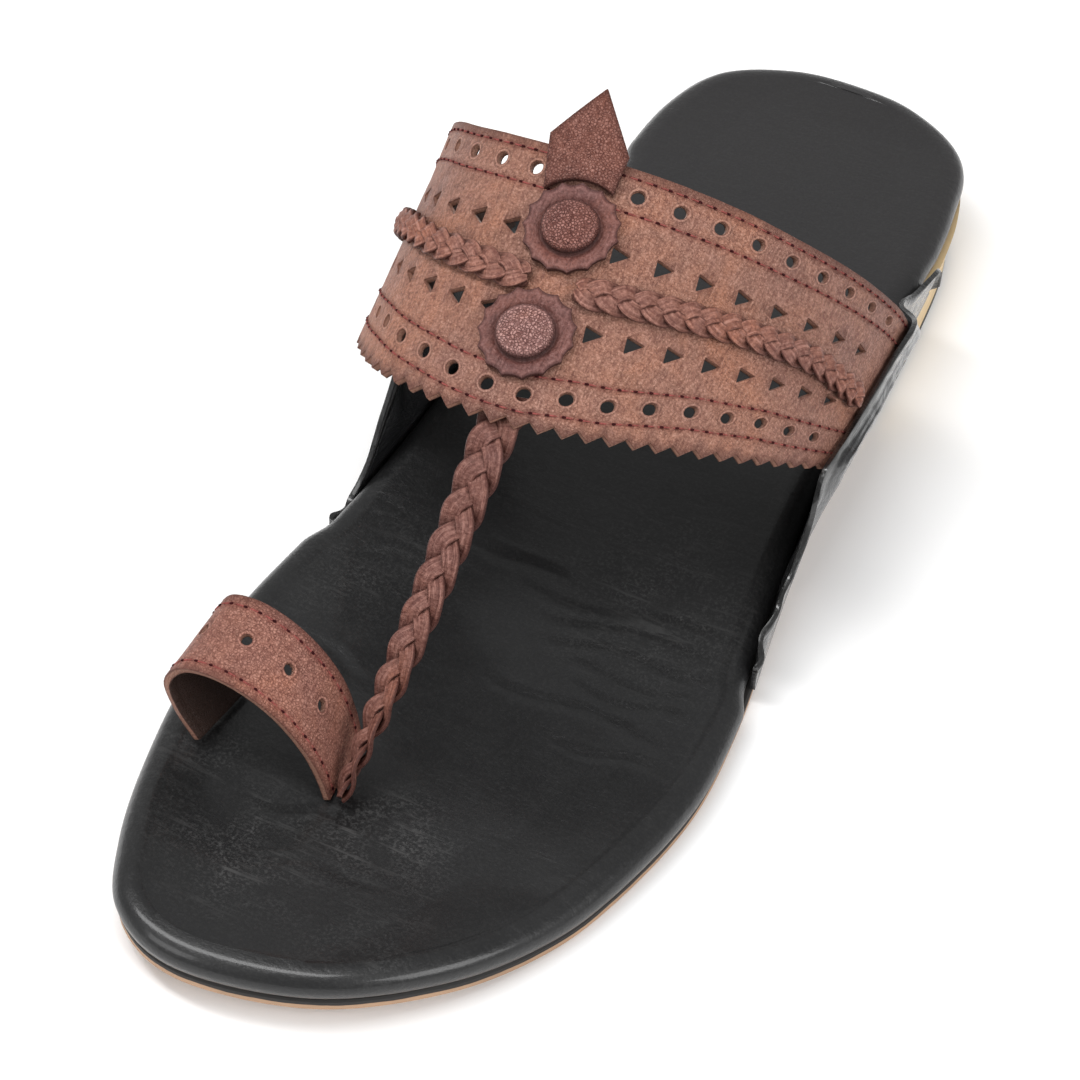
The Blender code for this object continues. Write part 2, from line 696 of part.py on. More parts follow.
def strand_height(across, phase):
    # height of a three-strand braid over its middle plane, both -1 to 1
    highest = np.full(np.shape(across), -1.0)
    for k in range(3):
        turn = phase + 2 * math.pi * k / 3
        centre = 0.60 * np.sin(turn)
        lift = 0.42 * np.sin(2 * turn)
        reach = (across - centre) / 0.44
        body = lift + 0.58 * np.sqrt(np.clip(1 - reach**2, 0, 1)) - 4.0 * np.maximum(np.abs(reach) - 1, 0)
        highest = np.maximum(highest, body)
    return highest


def braid_half_width(phase):
    reach = [0.60 * math.sin(phase + 2 * math.pi * k / 3) for k in range(3)]
    return max(reach) + 0.40, -min(reach) + 0.40


def instep_braid(name, band):
    # one wall laid along the strap, with the three strips raised on its outer side
    way = 1 if name == "lateral" else -1
    rows = np.array(BRAID_LINE)
    reach = STRAP_LATERAL_REACH if way > 0 else STRAP_MEDIAL_REACH
    line = spline(np.c_[rows[:, 0] * reach, rows[:, 1 if way > 0 else 2] * band.width], 60)
    start, end = BRAID_ENDS[name][0] * reach, BRAID_ENDS[name][1] * reach
    length = end - start
    sections = int(length / (BRAID_PITCH / 9)) + 1
    columns = 7
    rows = []
    for i in range(sections + 1):
        share = i / sections
        run = share * length
        phase = 2 * math.pi * run / BRAID_PITCH
        v_mid = np.interp(start + run, line[:, 0], line[:, 1])
        rounding = min(1.0, math.sqrt(max(0.06, 1 - (1 - min(run, length - run) / (BRAID_WIDTH * 0.42)) ** 2))
                       if min(run, length - run) < BRAID_WIDTH * 0.42 else 1.0)
        right, left = braid_half_width(phase)
        across = np.linspace(-left, right, columns)
        height = np.clip(0.5 + 0.5 * strand_height(across, phase), 0.22, 1.0) * BRAID_THICK * (0.45 + 0.55 * rounding)
        height[[0, -1]] = 0.22 * BRAID_THICK
        s = np.full(columns, way * (start + run))
        v = v_mid + across * rounding * BRAID_WIDTH / 2
        top = band.points(s, v, GAP + height)
        foot = band.points(s[[-1, 3, 0]], v[[-1, 3, 0]], np.full(3, GAP))
        rows.append(np.vstack([top, foot]))
    tube_solid("instep_braid_" + name, rows, "braid_brown")


def tube_solid(name, rings, material):
    size = len(rings[0])
    vertices = np.vstack(rings)
    faces = []
    for i in range(len(rings) - 1):
        for k in range(size):
            j = (k + 1) % size
            faces.append((i * size + k, i * size + j, (i + 1) * size + j, (i + 1) * size + k))
    faces.append(tuple(range(size)))
    faces.append(tuple((len(rings) - 1) * size + k for k in range(size))[::-1])
    return add_object(name, vertices, faces, material)


def toe_plait(band, loop):
    # from under the strap's front edge down to the insole beside the toe loop
    middle = 0.13 * PLAIT_WIDTH_TOP
    top = band.points(middle, band.width - PLAIT_TUCK, -STRAP_THICK - GAP - PLAIT_THICK * 0.66)[0]
    lip = band.points(middle, band.width + PLAIT_THICK, -STRAP_THICK - GAP - PLAIT_THICK * 0.72)[0]
    bow = np.array([PLAIT_BOW, 0.0, -0.7 * PLAIT_BOW])
    foot_y = LOOP_MEDIAL_FOOT[1] - SHOE_LENGTH / 2 + 0.05 * LOOP_WIDTH
    foot_x = LOOP_MEDIAL_FOOT[0] + LOOP_SPAN + GAP + PLAIT_THICK * 0.42
    foot = np.array([foot_x, foot_y, insole_top(foot_x, foot_y) + PLAIT_THICK * 0.6])
    stops = [(k, lip * (1 - k) + foot * k + 4 * k * (1 - k) * bow) for k in (0.25, 0.5, 0.75)]
    path = spline([top, lip] + [point for _, point in stops] + [foot], 61)
    along = normalize(np.gradient(path, axis=0))
    run = np.r_[0.0, np.cumsum(np.linalg.norm(np.diff(path, axis=0), axis=1))]
    rings = []
    columns = 6
    for i in range(len(path)):
        share = run[i] / run[-1]
        width = PLAIT_WIDTH_TOP + (PLAIT_WIDTH_FOOT - PLAIT_WIDTH_TOP) * share**0.8
        thick = PLAIT_THICK * (1 - 0.22 * share)
        twist = math.radians(-52) * smooth((share - 0.55) / 0.45)
        side = normalize(np.cross(along[i], [0.0, 0.0, 1.0]))
        face = np.cross(side, along[i])
        side, face = side * math.cos(twist) + face * math.sin(twist), face * math.cos(twist) - side * math.sin(twist)
        phase = 2 * math.pi * run[i] / PLAIT_PITCH
        right, left = braid_half_width(phase)
        across = np.linspace(-left, right, columns)
        upper = np.clip(strand_height(across, phase), 0.25, 1.0) * thick / 2
        lower = -np.clip(strand_height(across, phase + math.pi), 0.25, 1.0) * thick / 2
        upper[[0, -1]], lower[[0, -1]] = 0.25 * thick / 2, -0.25 * thick / 2
        ring = [path[i] + side * across[k] * width / 2 + face * upper[k] for k in range(columns)]
        ring += [path[i] + side * across[k] * width / 2 + face * lower[k] for k in range(columns)][::-1]
        rings.append(np.array(ring))
    tube_solid("toe_plait", rings, "braid_brown")


def toe_loop(band):
    # band of the toe loop with a row of punched holes, its feet on the insole
    first, last = band.rear_s[0], band.rear_s[-1]
    outline = [(s, 0.0) for s in np.linspace(first, last, 22)]
    outline += [(s, band.width) for s in np.linspace(last, first, 22)]
    places = (np.arange(5) - 2.1) * LOOP_HOLE_PITCH
    holes = [circle((s, 0.46 * band.width), LOOP_HOLE_DIAMETER / 2, 8) for s in places]
    flat_piece("toe_loop", band, outline, holes, 0.0055, level(-LOOP_THICK), level(0.0), "strap_brown")


# Side wings

def side_wing(name, band, side):
    # a leather wing that rises from the sole's edge and laps over the strap's end on its outer side
    way = 1 if side == "lateral" else -1
    edge = sole_sides(160)[1 if way > 0 else 0]
    reaches = np.array(WING_REACH[side]) * (STRAP_LATERAL_REACH if way > 0 else STRAP_MEDIAL_REACH)
    ribs = []
    for share, lateral_height, medial_height, lateral_flare, medial_flare, place in WING_RIBS:
        foot_y = WING_FRONT + share * WING_LENGTH - SHOE_LENGTH / 2
        foot_x = np.interp(foot_y, edge[:, 1], edge[:, 0])
        base = insole_base(np.array([foot_y]))[0] + GAP
        foot = np.array([foot_x, foot_y, base])
        waist = foot + np.array([0.0, 0.0, INSOLE_THICK * 0.75])
        if place is None:
            height = lateral_height if way > 0 else medial_height
            flare = lateral_flare if way > 0 else medial_flare
            top = foot + np.array([way * flare * WING_FLARE, 0.0, INSOLE_THICK + height * WING_HEIGHT])
            waist = foot + (0, 0, 0.3 * (top - foot)[2])
            rib = spline([foot, waist, waist * 0.5 + top * 0.5, top], 7)
        else:
            v = place * band.width
            reach = way * (reaches[0] + (reaches[1] - reaches[0]) * np.clip(place, 0, 1))
            stand = 2 * GAP + WING_THICK
            lap = band.points(reach, v, stand)[0]
            low = band.points(reach + way * WING_LAP, v, stand)[0]
            rib = spline([foot, waist, low, low * 0.5 + lap * 0.5, lap], 7)
        ribs.append(rib)
    ribs = spline(np.array(ribs).reshape(len(ribs), -1), 33).reshape(33, 7, 3)
    ribs[:, 0, 0] = np.interp(ribs[:, 0, 1], edge[:, 1], edge[:, 0])
    ribs[:, 0, 2] = insole_base(ribs[:, 0, 1]) + GAP
    along = np.gradient(ribs, axis=0)
    up = np.gradient(ribs, axis=1)
    inward = -way * normalize(np.cross(along, up))
    inner = ribs + inward * WING_THICK
    flat_count = ribs.shape[0] * ribs.shape[1]
    index = np.arange(flat_count).reshape(ribs.shape[:2])
    vertices = np.vstack([ribs.reshape(-1, 3), inner.reshape(-1, 3)])
    faces = []
    rows_count, columns = index.shape
    for i in range(rows_count - 1):
        for k in range(columns - 1):
            face = (index[i, k], index[i + 1, k], index[i + 1, k + 1], index[i, k + 1])
            faces.append(face)
            faces.append(tuple(f + flat_count for f in face[::-1]))
    border = [(index[i, 0], index[i + 1, 0]) for i in range(rows_count - 1)]
    border += [(index[i, -1], index[i + 1, -1]) for i in range(rows_count - 1)]
    border += [(index[0, k], index[0, k + 1]) for k in range(columns - 1)]
    border += [(index[-1, k], index[-1, k + 1]) for k in range(columns - 1)]
    faces += [(a, b, b + flat_count, a + flat_count) for a, b in border]
    return add_object("wing_" + name, vertices, faces, "wing_black")


def centre_on_floor():
    # the object's origin is at the middle of its box, on the floor
    bpy.context.view_layer.update()
    corners = np.array([part.matrix_world @ v.co for part in collection.objects if part.type == "MESH"
                        for v in part.data.vertices])
    low, high = corners.min(axis=0), corners.max(axis=0)
    origin.location = (-(low[0] + high[0]) / 2, -(low[1] + high[1]) / 2, -low[2])
    bpy.context.view_layer.update()


for old in list(bpy.data.objects):
    bpy.data.objects.remove(old, do_unlink=True)
collection = bpy.data.collections.new("kolhapuri_sandal")
bpy.context.scene.collection.children.link(collection)
origin = bpy.data.objects.new("sandal_origin", None)
collection.objects.link(origin)
materials = {name: make_material(name) for name in MATERIALS}

outsole()
heel()
insole()
strap = strap_band()
loop = loop_band()
instep_strap(strap)
rosette("rear", strap, ROW_REAR_ROSETTE)
rosette("front", strap, ROW_FRONT_ROSETTE)
leaf_tab(strap)
instep_braid("lateral", strap)
instep_braid("medial", strap)
toe_plait(strap, loop)
toe_loop(loop)
side_wing("lateral", strap, "lateral")
side_wing("medial", strap, "medial")
centre_on_floor()
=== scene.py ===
# Kolhapuri sandal, left shoe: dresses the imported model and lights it.
# Metres, +Z up, toe towards -Y, the foot's outer side towards +X.
import bpy
import bmesh
import math
import numpy as np
from mathutils import Matrix, Vector, noise
from mathutils.geometry import delaunay_2d_cdt


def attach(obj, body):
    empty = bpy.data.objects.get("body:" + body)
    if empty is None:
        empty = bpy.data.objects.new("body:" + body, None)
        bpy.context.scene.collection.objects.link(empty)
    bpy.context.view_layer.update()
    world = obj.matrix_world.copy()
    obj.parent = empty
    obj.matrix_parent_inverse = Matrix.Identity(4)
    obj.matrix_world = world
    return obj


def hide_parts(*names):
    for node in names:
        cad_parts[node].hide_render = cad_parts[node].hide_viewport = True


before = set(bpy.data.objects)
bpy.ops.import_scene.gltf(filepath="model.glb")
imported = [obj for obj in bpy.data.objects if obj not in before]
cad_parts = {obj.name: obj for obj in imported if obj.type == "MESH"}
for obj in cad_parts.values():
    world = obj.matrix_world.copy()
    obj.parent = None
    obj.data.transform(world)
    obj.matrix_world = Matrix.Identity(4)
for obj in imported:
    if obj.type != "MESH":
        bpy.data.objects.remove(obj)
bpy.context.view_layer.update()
print("frame loaded:", len(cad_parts), "nodes")

shoe = {
    "length": 0.2795, "ballWidth": 0.1005, "gap": 0.0003,
    "outsoleThick": 0.0026, "outsoleInset": 0.0009, "insoleThick": 0.0062,
    "heelLift": 0.0126, "heelStart": 0.198, "topPieceThick": 0.0018,
    "heelInset": 0.0005, "heelTaper": 0.0014, "heelLedge": 0.0013, "toeSpring": 0.0050, "springRun": 0.0500,
    "riseStart": 0.105, "riseEnd": 0.192, "dish": 0.0009, "dishFade": 0.0180, "toeHollow": 0.0007,
    "shiftX": -0.000339,
}
# station share of the length, then medial and lateral shares of the ball width
soleOutline = [
    (0.0000, -0.130, -0.130), (0.0215, -0.289, 0.114), (0.0769, -0.378, 0.299),
    (0.1485, -0.443, 0.418), (0.2236, -0.481, 0.483), (0.3023, -0.486, 0.514),
    (0.3846, -0.464, 0.498), (0.4705, -0.430, 0.461), (0.5564, -0.403, 0.432),
    (0.6458, -0.386, 0.414), (0.7352, -0.376, 0.401), (0.8247, -0.366, 0.383),
    (0.9034, -0.354, 0.352), (0.9606, -0.294, 0.284), (0.9928, -0.149, 0.144),
    (1.0000, 0.000, 0.000),
]
gap = shoe["gap"]


# shared curves and surfaces

def smooth(share):
    share = np.clip(share, 0.0, 1.0)
    return share * share * (3 - 2 * share)


def catmull(padded, count):
    spans = len(padded) - 3
    place = np.linspace(0, spans, count)
    first = np.minimum(place.astype(int), spans - 1)
    u = (place - first)[:, None]
    a, b, c, d = (padded[first + k] for k in range(4))
    return 0.5 * (2 * b + (c - a) * u + (2 * a - 5 * b + 4 * c - d) * u**2 + (3 * b - a - 3 * c + d) * u**3)


def spline(rows, count):
    rows = np.asarray(rows, float)
    return catmull(np.vstack([2 * rows[0] - rows[1], rows, 2 * rows[-1] - rows[-2]]), count)


def unit(vectors):
    return vectors / np.maximum(np.linalg.norm(vectors, axis=-1, keepdims=True), 1e-12)


def waves(points, scale, seed=0.0):
    # smooth noise, -1 to 1, at each point
    offset = Vector((seed, seed * 1.7, -seed))
    return np.array([noise.noise(Vector((*(p / scale),)) + offset) for p in points])


def soleSides(count):
    rows = np.array(soleOutline)
    station = (rows[:, 0] - 0.5) * shoe["length"]
    sides = []
    for near, far in ((1, 2), (2, 1)):
        points = np.c_[rows[:, near] * shoe["ballWidth"], station]
        toe = (rows[1, far] * shoe["ballWidth"], station[1])
        heelEnd = (rows[-2, far] * shoe["ballWidth"], station[-2])
        sides.append(catmull(np.vstack([toe, points, heelEnd]), count))
    return sides


def insetSides(sides, distance):
    medial, lateral = sides
    ring = np.vstack([medial, lateral[-2:0:-1]])
    along = np.roll(ring, -1, 0) - np.roll(ring, 1, 0)
    inward = unit(np.c_[-along[:, 1], along[:, 0]])
    inward *= np.sign(((ring.mean(axis=0) - ring) * inward).sum())
    count = len(medial)
    shares = np.broadcast_to(distance, count)
    moved = ring + inward * np.r_[shares, shares[-2:0:-1]][:, None]
    return moved[:count], np.vstack([moved[:1], moved[count:][::-1], moved[count - 1:count]])


def groundRise(y):
    fromToe = y + shoe["length"] / 2
    lift = shoe["heelLift"] * smooth((fromToe - shoe["riseStart"]) / (shoe["riseEnd"] - shoe["riseStart"]))
    return lift + shoe["toeSpring"] * smooth((shoe["springRun"] - fromToe) / shoe["springRun"])


def insoleBase(y):
    return groundRise(y) + shoe["outsoleThick"] + gap


def wingWindow(y):
    fromToe = y + shoe["length"] / 2
    front = smooth((fromToe - wing["front"] + wing["margin"]) / wing["blend"])
    return front * smooth((wing["front"] + wing["length"] + wing["margin"] - fromToe) / wing["blend"])


def insoleSides(sides, distance):
    # drawn in for the wings, and along the heel's outer edge, where the heel shows beside the insole
    y = sides[0][:, 1]
    fromToe = y / shoe["length"] + 0.5
    ledge = smooth((fromToe - 0.79) / 0.03) * smooth((0.95 - fromToe) / 0.06) * (1 - wingWindow(y))
    tuck = (wing["thick"] + 2 * gap) * wingWindow(y) + distance
    return insetSides(sides, tuck)[0], insetSides(sides, tuck + shoe["heelLedge"] * ledge)[1]


class Band:
    # a bent band between two edge curves: s along it from the crest, v across it, h off its outer face
    def __init__(self, rear, front, width, frontShare, crest):
        self.rear, self.front, self.width, self.frontShare = rear, front, width, frontShare
        self.rearS = self.lengths(rear, crest)
        self.frontS = self.lengths(front, crest) if frontShare < 1 else self.rearS

    @staticmethod
    def lengths(points, crest):
        run = np.r_[0.0, np.cumsum(np.linalg.norm(np.diff(points, axis=0), axis=1))]
        return run - run[crest]

    @staticmethod
    def onEdge(points, run, s):
        inside = np.array([np.interp(s, run, points[:, k]) for k in range(3)]).T
        over = np.maximum(s - run[-1], 0.0)[:, None] * unit(points[-1] - points[-3])
        under = np.minimum(s - run[0], 0.0)[:, None] * unit(points[2] - points[0])
        return inside + over + under

    def surface(self, s, v):
        share = (v / self.width)[:, None]
        front = self.onEdge(self.front, self.frontS, s * self.frontShare)
        return self.onEdge(self.rear, self.rearS, s) * (1 - share) + front * share

    def points(self, s, v, h):
        s, v, h = (np.atleast_1d(np.asarray(k, float)) for k in np.broadcast_arrays(s, v, h))
        step = 0.0016
        along = self.surface(s + step, v) - self.surface(s - step, v)
        across = self.surface(s, v + step) - self.surface(s, v - step)
        return self.surface(s, v) + unit(np.cross(across, along)) * h[:, None]

    def squeeze(self, v):
        return 1 - (1 - self.frontShare) * v / self.width


strapShape = {
    "thick": 0.0018, "halfSpan": 0.4975 * shoe["ballWidth"], "width": 0.0545, "rearHeight": 0.0892,
    "frontHeight": 0.0632, "footHeight": 0.0270, "rearCrest": 0.1515, "frontCrest": 0.1022, "lean": 0.0450,
    "medialReach": 0.0970, "lateralReach": 0.0970, "endSlant": 0.0062, "frontShare": 0.87,
    "holePitch": 0.0088, "holeDiameter": 0.0028, "triangleSide": 0.0042, "triangleLean": 0.18,
    "pinkPitch": 0.0047, "pinkDepth": 0.0019, "edgeRound": 0.00040,
}
# rear out, rear lean, rear rise, front out, front lean, front rise
strapSections = [
    (-0.840, 0.820, 0.050, -0.880, 0.980, 0.000), (-0.950, 0.740, 0.225, -0.930, 0.850, 0.190),
    (-0.995, 0.630, 0.405, -0.935, 0.690, 0.380), (-0.980, 0.490, 0.570, -0.880, 0.480, 0.575),
    (-0.880, 0.310, 0.745, -0.765, 0.290, 0.725), (-0.690, 0.125, 0.880, -0.600, 0.130, 0.865),
    (-0.430, 0.020, 0.970, -0.360, 0.020, 0.968), (-0.134, 0.000, 1.000, -0.090, 0.000, 1.000),
    (0.150, 0.078, 0.955, 0.180, 0.085, 0.960), (0.400, 0.208, 0.852, 0.420, 0.230, 0.882),
    (0.600, 0.360, 0.714, 0.630, 0.410, 0.763), (0.760, 0.535, 0.555, 0.800, 0.620, 0.603),
    (0.868, 0.720, 0.375, 0.930, 0.860, 0.405), (0.908, 0.890, 0.200, 0.985, 1.060, 0.220),
    (0.890, 1.020, 0.050, 0.990, 1.230, 0.045),
]
loopShape = {"thick": 0.0017, "width": 0.0165, "span": 0.0330, "height": 0.0222, "footX": -0.0413,
             "footY": 0.0485, "holePitch": 0.0094, "holeDiameter": 0.0021, "holePlace": 0.46,
             "edgeRound": 0.00038}
# across, front height, rear height, rear across
loopSections = [
    (0.11, 0.00, 0.00, 0.15), (-0.02, 0.30, 0.36, 0.07), (-0.08, 0.61, 0.81, 0.00), (0.02, 0.85, 1.10, 0.07),
    (0.22, 0.93, 1.18, 0.25), (0.45, 0.88, 1.12, 0.45), (0.67, 0.72, 0.94, 0.65), (0.85, 0.46, 0.66, 0.81),
    (0.95, 0.20, 0.32, 0.90), (1.00, 0.00, 0.00, 0.94),
]
wing = {"length": 0.1110, "front": 0.1160, "height": 0.0300, "flare": 0.0050, "lap": 0.0085, "thick": 0.0012,
        "margin": 0.0100, "blend": 0.0080, "lateral": (0.928, 0.866), "medial": (0.948, 0.887)}
# station, lateral height, medial height, lateral flare, medial flare, place on the strap
wingRibs = [
    (0.000, 0.00, -0.15, 0.02, 0.00, None), (0.030, 0.14, -0.15, 0.08, 0.00, None),
    (0.070, 0.29, -0.13, 0.30, 0.00, None), (0.140, 0.30, 0.20, 0.45, 0.06, None),
    (0.205, 0.52, 0.58, 0.65, 0.20, None), (0.262, 0.0, 0.0, 0.0, 0.0, 1.03),
    (0.390, 0.0, 0.0, 0.0, 0.0, 0.78), (0.510, 0.0, 0.0, 0.0, 0.0, 0.52),
    (0.620, 0.0, 0.0, 0.0, 0.0, 0.26), (0.720, 0.0, 0.0, 0.0, 0.0, -0.01),
    (0.795, 0.31, 0.24, 0.02, 0.02, None), (0.870, 0.18, 0.16, 0.14, 0.16, None),
    (0.940, 0.13, 0.12, 0.36, 0.34, None), (0.985, 0.07, 0.06, 0.44, 0.38, None),
    (1.000, -0.12, -0.12, 0.36, 0.30, None),
]


def insoleDrop(share, x, y):
    dx = (x + 0.05 * shoe["ballWidth"]) / (0.36 * shoe["ballWidth"])
    dy = (y + 0.27 * shoe["length"]) / (0.17 * shoe["length"])
    dish = shoe["dish"] * np.minimum(1.0, 6.4 * share * (1 - share))
    dish = dish * smooth((shoe["length"] / 2 - np.abs(y)) / shoe["dishFade"])
    return dish + shoe["toeHollow"] * np.exp(-dx * dx - dy * dy)


def insoleTop(x, y):
    low, high = insetSides(soleSides(40), 0.8 * shoe["insoleThick"])
    left, right = np.interp(y, low[:, 1], low[:, 0]), np.interp(y, high[:, 1], high[:, 0])
    share = min(1.0, max(0.0, (x - left) / (right - left)))
    return float(insoleBase(np.array([y]))[0] + shoe["insoleThick"] - insoleDrop(share, x, y))


def strapBand():
    rows = np.array(strapSections)
    edges = []
    for first, high, crest in ((0, "rearHeight", "rearCrest"), (3, "frontHeight", "frontCrest")):
        foot = strapShape["footHeight"]
        x = rows[:, first] * strapShape["halfSpan"]
        y = strapShape[crest] - shoe["length"] / 2 + rows[:, first + 1] * strapShape["lean"]
        z = foot + rows[:, first + 2] * (strapShape[high] - foot)
        edges.append(spline(np.c_[x, y, z], (len(rows) - 1) * 10 + 1))
    return Band(edges[0], edges[1], strapShape["width"], strapShape["frontShare"], 70)


def loopBand():
    rows = np.array(loopSections)
    yFront = loopShape["footY"] - shoe["length"] / 2 + 0 * rows[:, 0]
    middle = yFront[0] + 0.5 * loopShape["width"]
    seats = [insoleTop(loopShape["footX"] + way * loopShape["span"], middle) + 3 * gap for way in (0.05, 1.0)]
    floor = seats[0] + (seats[1] - seats[0]) * np.linspace(0, 1, len(rows))
    edges = []
    for across, rise, back in ((3, 2, loopShape["width"]), (0, 1, 0.0)):
        x = loopShape["footX"] + rows[:, across] * loopShape["span"]
        edges.append(spline(np.c_[x, yFront + back, floor + rows[:, rise] * loopShape["height"]],
                            (len(rows) - 1) * 8 + 1))
    return Band(edges[0], edges[1], loopShape["width"], 1.0, ((len(rows) - 1) * 8 + 1) // 2)


strap = strapBand()
loop = loopBand()
# share of the strap's reach, then how far the front row of holes sways, as a share of the strap's width
swayRows = np.array([
    (-1.00, -0.045), (-0.42, -0.040), (-0.31, -0.020), (-0.22, -0.008), (-0.13, 0.010), (-0.04, 0.020),
    (0.05, 0.022), (0.14, 0.003), (0.23, -0.002), (0.32, -0.022), (0.42, -0.044), (0.51, -0.047),
    (0.60, -0.053), (0.70, -0.040), (0.80, -0.030), (1.00, -0.020),
])


def rowSway(s):
    return np.interp(s / strapShape["lateralReach"], swayRows[:, 0], swayRows[:, 1]) * strap.width


def straightened(s, v):
    # place across the strap with the sway of its front rows taken out, so that each stitch row is one value
    return v - 0.85 * rowSway(s) * smooth((v / strap.width - 0.5) / 0.2)


# meshes

def makeMesh(name, vertices, faces, material, uv=None, sharp=38, shade=None, underside=None):
    vertices = np.asarray(vertices, float) + (shoe["shiftX"], 0, 0)
    mesh = bpy.data.meshes.new(name)
    mesh.from_pydata(vertices.tolist(), [], [tuple(int(k) for k in f) for f in faces])
    if uv is not None:
        layer = mesh.uv_layers.new(name="Pattern")
        loops = np.empty(len(mesh.loops), int)
        mesh.loops.foreach_get("vertex_index", loops)
        layer.data.foreach_set("uv", np.asarray(uv, float)[loops].ravel())
    for label, values in (("Shade", shade), ("Underside", underside)):
        if values is not None:
            layer = mesh.attributes.new(label, "FLOAT", "POINT")
            layer.data.foreach_set("value", np.asarray(values, float))
    work = bmesh.new()
    work.from_mesh(mesh)
    bmesh.ops.remove_doubles(work, verts=work.verts, dist=0.000002)
    bmesh.ops.recalc_face_normals(work, faces=work.faces)
    work.to_mesh(mesh)
    work.free()
    mesh.materials.append(material)
    mesh.shade_smooth()
    mesh.set_sharp_from_angle(angle=math.radians(sharp))
    piece = bpy.data.objects.new(name, mesh)
    bpy.context.scene.collection.objects.link(piece)
    return piece


def place(piece, slotName, *nodes):
    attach(piece, "root")
    if nodes:
        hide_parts(*nodes)
    return piece


def roundEdges(piece, width, angle=50, segments=2):
    bevel = piece.modifiers.new("softEdge", "BEVEL")
    bevel.width = width
    bevel.segments = segments
    bevel.limit_method = "ANGLE"
    bevel.angle_limit = math.radians(angle)
    bevel.use_clamp_overlap = True
    bpy.context.view_layer.update()
    finished = bpy.data.meshes.new_from_object(piece.evaluated_get(bpy.context.evaluated_depsgraph_get()))
    piece.modifiers.clear()
    piece.data = finished
    finished.shade_smooth()
    finished.set_sharp_from_angle(angle=math.radians(60))
    return piece


def circle(centre, radius, sides, squeeze=1.0):
    turn = np.linspace(0, 2 * math.pi, sides, endpoint=False) + math.pi / sides
    return np.c_[centre[0] + radius * np.cos(turn) / squeeze, centre[1] + radius * np.sin(turn)]


def triangle(centre, side, pointTo, squeeze=1.0):
    # the lateral ones lean a little
    turn = np.array([0.0, 2.2, 4.083]) - (strapShape["triangleLean"] if pointTo > 0 else 0.0)
    reach = side * 0.56
    corners = np.c_[centre[0] + pointTo * reach * np.cos(turn) / squeeze, centre[1] + reach * np.sin(turn)]
    cut = []
    for k in range(3):  # each corner is cut twice, so it is a little round
        before, corner, after = corners[k - 1], corners[k], corners[(k + 1) % 3]
        cut += [corner * 0.90 + before * 0.10, corner * 0.95 + (before + after) * 0.025,
                corner * 0.90 + after * 0.10]
    return np.array(cut)


def insideLoop(points, ring):
    x, y = points[:, 0], points[:, 1]
    hit = np.zeros(len(points), bool)
    for (x0, y0), (x1, y1) in zip(ring, np.roll(ring, -1, 0)):
        if y0 == y1:
            continue
        crosses = ((y0 > y) != (y1 > y)) & (x < (x1 - x0) * (y - y0) / (y1 - y0) + x0)
        hit ^= crosses
    return hit


# shade by the distance from an edge, in metres: dark above zero, pale below
cutEdge = ((0.0, 0.0006, 0.0012), (0.80, 0.25, 0.0))
holeEdge = ((0.0, 0.00035, 0.0006, 0.0011), (0.55, -0.70, 0.50, 0.0))
discEdge = ((0.0, 0.0004, 0.0008, 0.0012), (1.0, 0.45, -0.50, 0.0))


def edgeDistance(points, rings):
    border = np.vstack(rings)
    return np.array([np.hypot(*(border - p).T).min() for p in points])


